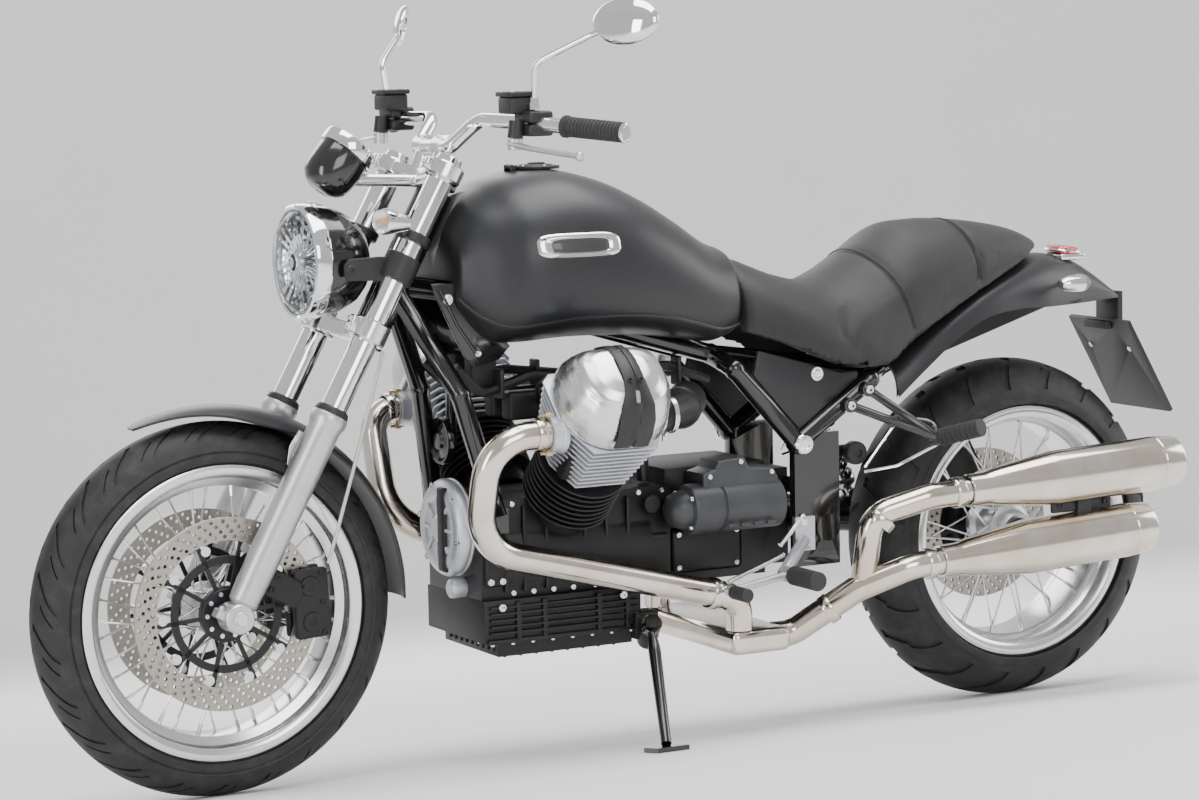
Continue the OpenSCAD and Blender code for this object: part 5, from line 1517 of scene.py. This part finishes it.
def tank_point(v, angle, out=0.0):
    x, half, top, belly = along(tank_lines, v)
    mid = belly + (top - belly) * 0.42
    c, s = math.cos(angle), math.sin(angle)
    high = top - mid if s > 0 else mid - belly
    return (x, signed(c, 0.82 if s > 0 else 0.62) * (half + out),
        mid + signed(s, 0.9 if s > 0 else 0.75) * (high + out))


def tank_spot(u, v):
    near = min(v / 0.04, (1 - v) / 0.03, 1.0)
    x, y, z = tank_point(v, 2 * math.pi * u)
    share = math.sqrt(max(0.0, 1 - (1 - near) ** 2))
    return (x, y * share, 846 + (z - 846) * share)


def cut(obj, *tools):
    """Each tool is taken out of obj and thrown away."""
    for tool in tools:
        bite = obj.modifiers.new("bite", "BOOLEAN")
        bite.operation, bite.solver, bite.object = "DIFFERENCE", "EXACT", tool
        alone(obj)
        bpy.ops.object.modifier_apply(modifier="bite")
        bpy.data.objects.remove(tool)
    return obj


shell = close_ends(moulded("fuel_tank_shell", 72, 96, tank_spot))
head_hole = rod((-45, 0, 480), (-45, 0, 900), 44, 48)
head_hole.data.transform(fork)
recess = lathe("recess", [(0, 1014.5), (44, 1014.5), (46, 1034), (0, 1034)], 64)
neck = lathe("neck", [(0, 966), (24, 966), (24, 1015), (0, 1015)], 40)
for tool in (recess, neck):
    tool.data.transform(Matrix.Translation((956, 0, 0)))
shell = cut(shell, block("tunnel", (480, -81, 600), (1200, 81, 836), 12), head_hole, recess, neck,
            block("hinge_well", (984, -14, 1014.5), (1013, 14, 1034), 1))
lips = []
for s in (1, -1):
    lips.append(bent("lip", [tank_point(0.02 + 0.95 * i / 40,
        math.radians(-34 + 4 * math.sin(i / 7))) for i in range(41)], 3.4, 10))
    if s < 0:
        lips[-1].data.transform(mirror)
ears = [block("ear", (998, min(s * 9.6, s * 13), 1008), (1010, max(s * 9.6, s * 13), 1023), 1.5,
    2) for s in (1, -1)]
settle(joined("fuel_tank_shell", [shell] + lips + ears), "chassis", graphite, "graphite_paint",
    "fuel_tank", upright, 34)

tank_x = [along(tank_lines, i / 400)[0] for i in range(401)]


def flank(x, z, out):
    """The tank's left side at x and z, and out from it."""
    v = np.interp(x, tank_x, np.linspace(0, 1, 401))
    _, half, top, belly = along(tank_lines, v)
    mid = belly + (top - belly) * 0.42
    s = min(0.98, abs(z - mid) / (top - mid if z > mid else mid - belly)) ** (1 / (0.9 if z > mid else 0.75))
    return (x, (1 - s * s) ** (0.41 if z > mid else 0.31) * half + out, z)


def medallion(name, long, tall, power, profile):
    """A plate that hugs the flank. profile gives (share of the way out, height)."""
    def spot(u, v):
        a = 2 * math.pi * u
        share, height = profile[round(v * (len(profile) - 1))]
        return flank(968 + long * signed(math.cos(a), power) * share,
            893 + tall * signed(math.sin(a), power) * share, height)
    return close_ends(moulded(name, 64, len(profile) - 1, spot))


# The badge is a plain chromed plate with rounded corners and a dark inlay, and bears no mark.
both(lambda: joined("badge", [
    medallion("plate", 78, 21, 0.5,
              [(0.02, 2.6), (0.5, 2.6), (0.52, 1.6), (0.58, 1.6), (0.6, 2.6), (0.9, 2.2), (1, -1)]),
    medallion("rim", 66, 15, 0.5, [(0.4, 2), (0.82, 3.4), (0.85, 5.2), (0.95, 5.2), (1, -1)])]),
    "tank_badge", "chassis", chrome, "hard_chrome", angle=50)
enamel = Finish("badge_enamel", (0.03, 0.03, 0.032), Roughness=0.34, Coat_Weight=0.3)
enamel.feed(Base_Color=enamel.blend(enamel.noise(90.0), (0.022, 0.022, 0.024),
                                    (0.042, 0.042, 0.045)))
both(lambda: medallion("inlay", 54, 12, 0.5, [(0.02, 4.3), (0.6, 4.3), (0.95, 4.0), (1, 2.5)]),
     "tank_badge_oval", "chassis", enamel, "hard_chrome", angle=50)

# ---- Fuel lid -------------------------------------------------------------------------------
# A hinged die-cast flap over the filler, black, with a turned rim and a lock cover.
lid = lathe("fuel_lid_disc", [(0, 1014.8), (41, 1014.8), (42, 1015.8), (42, 1019), (40.4, 1020.6),
    (33, 1020.8), (31, 1020),
                              (29, 1022.2), (27, 1022.7), (0, 1023.2)], 72)
lid.data.transform(Matrix.Translation((956, 0, 0)))
flap = [block("lock_flap", (940, -8, 1021), (968, 8, 1026), 2.5, 3),
    block("tongue", (990, -8.8, 1016), (1003, 8.8, 1020.8), 1.2, 2),
        rod((1005, -9, 1019.5), (1005, 9, 1019.5), 4.4, 24)]
heads = [screw((956 + 36.5 * math.cos(a), 36.5 * math.sin(a), 1020.6), (0, 0, 1), 2.4,
    1.6) for a in (k * 1.0472 + 0.5 for k in range(6))]
settle(joined("fuel_lid_disc", [lid] + flap), "fuel_lid", casting_black, "graphite_paint",
    "fuel_lid", upright)
settle(joined("fuel_lid_screws", heads), "fuel_lid", chrome, "hard_chrome", None, upright)

# ---- Scoops, side panels --------------------------------------------------------------------
# Moulded plastic trim: a gloss black scoop hides each side of the steering head, and a satin
# graphite triangle fills the frame below the saddle. One button screw holds each.
refined("side_scoops", "chassis", gloss, "gloss_black_plastic", 2.2)
refined("side_panels", "chassis", graphite, "graphite_plastic", 2.2)
ridge = [(1180, 83, 822), (1150, 83, 762), (1118, 83, 716)]
both(lambda: joined("trim_screws",
    [screw((1166, 80.7, 806), (0, 1, 0), 5.5, 3), screw((1112, 80.7, 712), (0, 1, 0), 5.5, 3),
                                    screw((470, 122, 640), (0, 1, 0), 8, 4),
                                        rod((1166, 79, 806), (1166, 81.6, 806), 9, 28),
                                    rod((470, 121, 640), (470, 123.4, 640), 12, 32)]),
     "trim_screws", "chassis", chrome, "hard_chrome")
both(lambda: bent("crease", ridge, 2.6, 10), "scoop_crease", "chassis", gloss,
    "gloss_black_plastic")

# ---- Saddle ---------------------------------------------------------------------------------
# Moulded foam under black leather, pulled down over a tray and stapled below. The rider's
# hollow is sewn along its foot, and a second seam crosses the pillion's part.
seat_lines = [(611.6, 118, 856, 722), (560, 140, 832, 706), (500, 150, 808, 680),
    (430, 152, 794, 652), (380, 151, 810, 645),
              (321, 146, 846, 652), (257, 138, 886, 692), (200, 130, 894, 724),
              (148, 122, 895, 752), (70, 104, 889, 786),
              (-7, 80, 876, 816), (-60, 46, 856, 838)]


def seat_spot(u, v):
    x, half, top, edge = along(seat_lines, v)
    half, top = half - 3, top - 4
    near = min(v / 0.05, 1.0, (1 - v) / 0.04)
    half *= 0.86 + 0.14 * math.sqrt(max(0, 1 - (1 - near) ** 2))
    if u < 0.6:
        a = math.pi * u / 0.6
        return (x, half * math.cos(a), edge + (top - edge) * math.sin(a) ** 0.62)
    a = math.pi * (1 - (u - 0.6) / 0.4)
    return (x, (half - 18) * math.cos(a), edge + max(top - edge - 46, 6) * math.sin(a) ** 0.62)


saddle = close_ends(moulded("saddle_cushion", 60, 60, seat_spot))
saddle.data.transform(stance @ millimetres)
alone(saddle)
saddle.data.remesh_voxel_size = 0.006
bpy.ops.object.voxel_remesh()
flesh = saddle.data
start = np.empty(len(flesh.vertices) * 3)
flesh.vertices.foreach_get("co", start)
start = start.reshape(-1, 3)
puff = saddle.modifiers.new("puff", "CLOTH")
puff.settings.use_pressure = True
puff.settings.uniform_pressure_force = 4.0
puff.settings.effector_weights.gravity = 0.0
puff.settings.quality = 5
puff.settings.tension_stiffness = puff.settings.compression_stiffness = 25
for step in range(1, 21):
    bpy.context.scene.frame_set(step)
shape = saddle.evaluated_get(bpy.context.evaluated_depsgraph_get()).to_mesh()
swollen = np.empty(len(shape.vertices) * 3)
shape.vertices.foreach_get("co", swollen)
saddle.modifiers.remove(puff)
bpy.context.scene.frame_set(1)
way = swollen.reshape(-1, 3) - start
length = np.linalg.norm(way, axis=1, keepdims=True)
way *= np.minimum(1, 0.022 / np.maximum(length, 1e-9))
back = np.array((stance @ millimetres).inverted())
normals = np.empty(len(flesh.vertices) * 3)
flesh.vertices.foreach_get("normal", normals)
upright_normals = normals.reshape(-1, 3) @ np.array(stance.to_3x3())
local = start @ back[:3, :3].T + back[:3, 3]
middle = np.interp(-local[:, 0], [-r[0] for r in seat_lines], [r[3] - 60 for r in seat_lines])
outward = np.stack([np.zeros(len(local)), local[:, 1], local[:, 2] - middle], axis=1)
outward /= np.linalg.norm(outward, axis=1, keepdims=True)
share = np.clip((upright_normals * outward).sum(axis=1, keepdims=True) * 1.6, 0, 1)
flesh.vertices.foreach_set("co", (start + way * share * 0.55).ravel())
flesh.update()


def skin(x, a, obj=saddle):
    """The spot on the saddle's skin at x, seen from its axis at angle a."""
    _, half, top, edge = along(seat_lines,
        np.interp(-x, [-r[0] for r in seat_lines], np.linspace(0, 1, len(seat_lines))))
    centre = Vector((x, 0, edge + 6))
    toward = Vector((0, math.cos(a) * half, math.sin(a) * (top - edge))).normalized()
    lay = stance @ millimetres
    far, near = lay @ (centre + toward * 400), lay @ centre
    hit, spot, normal, _ = obj.ray_cast(far, (near - far).normalized())
    return lay.inverted() @ spot if hit else centre + toward * half


seams = []
for middle_x, rise in ((296, 62), (118, 26)):
    arc = [math.radians(6 + 168 * i / 48) for i in range(49)]
    seams.append([skin(middle_x + rise * (math.sin(a) - 0.5), a) for a in arc])
crease = np.array([(stance @ millimetres) @ p for seam in seams for p in seam])
points = np.empty(len(flesh.vertices) * 3)
flesh.vertices.foreach_get("co", points)
points = points.reshape(-1, 3)
normals = np.empty(len(flesh.vertices) * 3)
flesh.vertices.foreach_get("normal", normals)
gap = np.min(np.linalg.norm(points[:, None, :] - crease[None, :, :], axis=2), axis=1)
points -= normals.reshape(-1, 3) * (0.004 * np.exp(-(gap / 0.009) ** 2))[:, None]
flesh.vertices.foreach_set("co", points.ravel())
flesh.update()
soften = saddle.modifiers.new("soften", "SUBSURF")
soften.levels = soften.render_levels = 1
alone(saddle)
bpy.ops.object.modifier_apply(modifier="soften")
leather = Finish("saddle_leather", (0.028, 0.027, 0.027), Roughness=0.45, Specular_IOR_Level=0.5)
grain = leather.add("ShaderNodeTexVoronoi", {"feature": "DISTANCE_TO_EDGE"}, leather.point(), 520.0)
wear = leather.noise(7.0, 4.0, 0.6)
leather.feed(Base_Color=leather.blend(wear.rise(0.35, 0.75), (0.008, 0.0078, 0.0078),
    (0.020, 0.0195, 0.0195)),
             Roughness=0.36 + wear * 0.2)
leather.relief(grain.rise(0.0, 0.25) + leather.noise(160.0) * 0.6, 0.0004, 0.55)
settle(saddle, "chassis", leather, "saddle_leather", "rider_saddle", angle=0, laid=True)
alone(saddle)
bpy.ops.object.shade_smooth()
piping = []
for seam in seams:
    piping.append(bent("seam", list(seam), 1.5, 8))
settle(joined("saddle_piping", piping), "chassis", leather, "saddle_leather", None, upright, 60)

# ---- Tail and rear lamps --------------------------------------------------------------------
# A moulded graphite tail carries the saddle's end. Its lamp is a red lens in a chromed frame,
# and the rear indicators stand out on short chromed stalks.
tail_lines = [(300, 122, 674, 586), (246, 126, 712, 632), (174, 124, 754, 684),
    (101, 116, 788, 718), (24, 102, 816, 728),
              (-60, 84, 830, 727), (-140, 58, 820, 727), (-200, 44, 790, 729), (-250, 36, 752, 731)]


def tail_spot(u, v):
    x, half, top, edge = along(tail_lines, v)
    outer = u < 0.5
    a = math.pi * (u * 2 if outer else 2 - u * 2)
    wall = 0 if outer else 6
    flare = 4.5 * max(0, 1 - math.sin(a) / 0.14) if outer else 0
    return (x, (half - wall) * math.cos(a) + math.copysign(flare * 0.5, math.cos(a)),
        edge + (top - edge - 8 - wall)
            * max(0.0, math.sin(a)) ** 0.7)


settle(close_ends(moulded("tail_shell", 96, 80, tail_spot)), "chassis", graphite,
    "graphite_plastic", "tail_fairing", upright, 34)
lamp_red = Finish("lamp_red", (0.42, 0.012, 0.01), Roughness=0.12, Coat_Weight=1.0)
bars = lamp_red.split(lamp_red.point(stance))[1]
facet = ((bars * 160) % 1.0).rise(0.35, 0.65)
lamp_red.feed(Base_Color=lamp_red.blend(facet, (0.30, 0.008, 0.008), (0.62, 0.03, 0.02)))
lamp_red.relief(facet, 0.0008, 0.6)


def lens_spot(u, v):
    a = 2 * math.pi * u
    share = min(1, 3 * v, 3 * (1 - v)) ** 0.5
    return (-116 - 64 * v, signed(math.cos(a), 0.6) * (39 - 7 * v) * share,
        827 - 9 * v + signed(math.sin(a), 0.6) * 10 * share)


settle(moulded("tail_lamp_lens", 40, 24, lens_spot), "chassis", lamp_red, "clear_lamp",
    "tail_lamps", upright, 50)
settle(joined("tail_lamp_frame", [block("plinth", (-176, -36, 806), (-120, 36, 818), 4),
                                  bent("trim",
                                      [(-118 - 62 * (0.5 - 0.5 * math.cos(a)), 38 * math.sin(a),
                                      826 - 8 * (0.5 - 0.5
       * math.cos(a))) for a in (2 * math.pi * i / 40 for i in range(40))], 2.4, 10, closed=True)]),
       "chassis", chrome, "hard_chrome", None, upright)


def rear_flasher():
    body = lathe("body", [(0, -34), (9, -32), (15, -24), (18, -10), (20, 8), (20, 12), (0, 12)], 40)
    body.data.transform(Matrix.Translation((-92, 116, 770)) @ Matrix.Rotation(math.radians(-90), 4,
        "Y")
                        @ Matrix.Diagonal((0.82, 1, 1, 1)))
    return joined("rear_flasher",
        [body, rod((-90, 71.3, 768), (-92, 104, 770), 6, 24, 7),
        screw((-90, 88, 776), (0, 0, 1), 2.6, 1.6)])


def rear_flasher_lens():
    lens = lathe("lens", [(0, 12), (19.4, 12), (19.4, 15), (17, 22), (12, 27), (6, 29.4), (0, 30)],
        40)
    lens.data.transform(Matrix.Translation((-92, 116, 770)) @ Matrix.Rotation(math.radians(-90), 4,
        "Y")
                        @ Matrix.Diagonal((0.82, 1, 1, 1)))
    return lens


both(rear_flasher, "rear_flasher", "chassis", chrome, "hard_chrome")
both(rear_flasher_lens, "rear_flasher_lens", "chassis", prism, "clear_lamp")

# ---- Number plate holder --------------------------------------------------------------------
# A black plastic blade below the tail, with four stiffening bars and no plate on it.
refined("plate_holder", "chassis", moulding, "black_plastic", 1.5)
blade = Matrix.Translation((-332, 0, 516)) @ Matrix.Rotation(math.atan2(174, 100) - math.pi / 2, 4,
    "Y").inverted()
fins = [block("bar", (-7, y - 5, 34), (-3.4, y + 5, 170), 1.6, 2) for y in (-66, -22, 22, 66)]
fins += [block("rail", (-7, -88, z), (-3.4, 88, z + 7), 1.6, 2) for z in (8, 186)]
obj = joined("plate_bars", fins)
settle(obj, "chassis", moulding, "black_plastic", None, blade)
settle(joined("plate_screws", [screw((3.5, y, 140), (1, 0, 0), 5.5, 3) for y in (-60, 60)]),
    "chassis", wire, "spoke_steel", None, blade)

# ---- Swingarm, shaft drive and shock --------------------------------------------------------
# One cast arm on the right holds the shaft to the bevel box. A single gas shock with a wound
# steel spring stands beside it.
refined("swingarm", "chassis", casting_black, "black_casting", 0, 40)
refined("bevel_drive", "chassis", casting_black, "black_casting", 0, 40)
rear_heads = [screw((66 * math.cos(a), -162, 315 + 66 * math.sin(a)), (0, -1, 0), 5,
    4) for a in (k * math.pi / 4 for k in range(8))]
rear_heads += [screw((0, 84, 315), (0, 1, 0), 13, 8), screw((0, -162, 315), (0, -1, 0), 12, 9)]
ribs = [block("rib", (-70, -168, 311), (70, -160, 319), 2, 2),
    block("rib", (-4, -168, 245), (4, -160, 385), 2, 2)]
settle(joined("bevel_ribs", ribs), "chassis", casting_black, "black_casting", None, upright)
settle(joined("rear_screws", rear_heads), "chassis", wire, "spoke_steel", None, upright)
foot, top = Vector((266, -118, 405)), Vector((344, -118, 541))
aim = Matrix.Translation(foot) @ (top - foot).to_track_quat("Z", "Y").to_matrix().to_4x4()
n = (top - foot).length
damper = lathe("damper", [(0, -24), (11, -24), (12, -8), (23, -4), (25, 0), (25, 7), (22, 10),
    (15, 12), (15, n - 30), (18, n - 28),
                          (18, n - 12), (24, n - 9), (25, n - 6), (25, n), (13, n + 3),
                          (12, n + 22), (0, n + 24)], 48)
turns = 7
coil = bent("coil", [(20.4 * math.cos(a), 20.4 * math.sin(a),
    12 + (n - 24) * a / (2 * math.pi * turns))
                     for a in (2 * math.pi * turns * i / 168 for i in range(169))], 4.4, 10)
eye = rod((356, -132, 574), (356, -104, 574), 13.8, 32)
eye.data.transform(aim.inverted())
low_eye = rod((250, -132, 381), (250, -104, 381), 13.8, 32)
low_eye.data.transform(aim.inverted())
settle(joined("shock_damper", [damper, eye, low_eye]), "chassis", wire, "black_paint",
    "shock_absorber", aim)
settle(coil, "chassis", gloss, "black_paint", None, aim, name="shock_spring")

# ---- Footrests ------------------------------------------------------------------------------
# Polished arms with ribbed rubber sleeves. The gear lever and its linkage run on the left, and
# a wire loop guards each passenger peg's heel.
refined("rider_footrests", "chassis", silver, "cast_aluminium", 0, 40)
refined("passenger_footrests", "chassis", gloss, "black_paint", 0, 40)


def ribbed(a, b, r, ridges):
    """A rubber sleeve from a to b."""
    length = (Vector(b) - Vector(a)).length
    line = [(0, 0), (r - 1, 0)]
    for k in range(ridges):
        z = 2 + (length - 4) * k / ridges
        step = (length - 4) / ridges
        line += [(r, z), (r, z + step * 0.55), (r - 1.8, z + step * 0.62),
            (r - 1.8, z + step * 0.93)]
    sleeve = lathe("sleeve", line + [(r, length - 1.5), (r - 1, length), (0, length)], 32)
    sleeve.data.transform(Matrix.Translation(a) @ (Vector(b) - Vector(a)).to_track_quat("Z",
        "Y").to_matrix().to_4x4())
    return sleeve


both(lambda: joined("peg_rubbers",
    [ribbed((574, 206, 302), (574, 288, 302), 17, 8),
    ribbed((700, 214, 286), (700, 263, 286), 12, 5),
                                    ribbed((255, 190, 518.5), (221, 268, 541), 16, 8)]),
     "peg_rubbers", "chassis", grip_rubber, "grip_rubber")
both(lambda: joined("peg_links",
    [rod((560, 150, 330), (700, 196, 300), 4, 16), screw((508, 132, 380), (0, 1, 0), 7, 5),
                                  screw((508, 132, 342), (0, 1, 0), 7, 5),
                                      rod((504, 128, 392), (556, 132, 344), 5, 16),
                                  screw((380, 151, 608.9), (0, 1, 0), 8, 5),
                                      screw((418, 151, 582.9), (0, 1, 0), 8, 5)]),
     "peg_links", "chassis", bright, "polished_aluminium")
both(lambda: bent("guard", round_path([(386, 143, 470), (320, 156, 556), (262, 176, 548),
    (250, 182, 508), (330, 160, 470),
                                       (386, 143, 462)], [14, 26, 14, 30], 6), 3.2, 12),
     "heel_guard", "chassis", chrome, "hard_chrome")

# ---- Side stand -----------------------------------------------------------------------------
# A forged leg on a pin under the sump, painted black, with a flat foot that rests on the floor.
refined("side_stand", "side_stand", gloss, "black_paint", 0, 40)
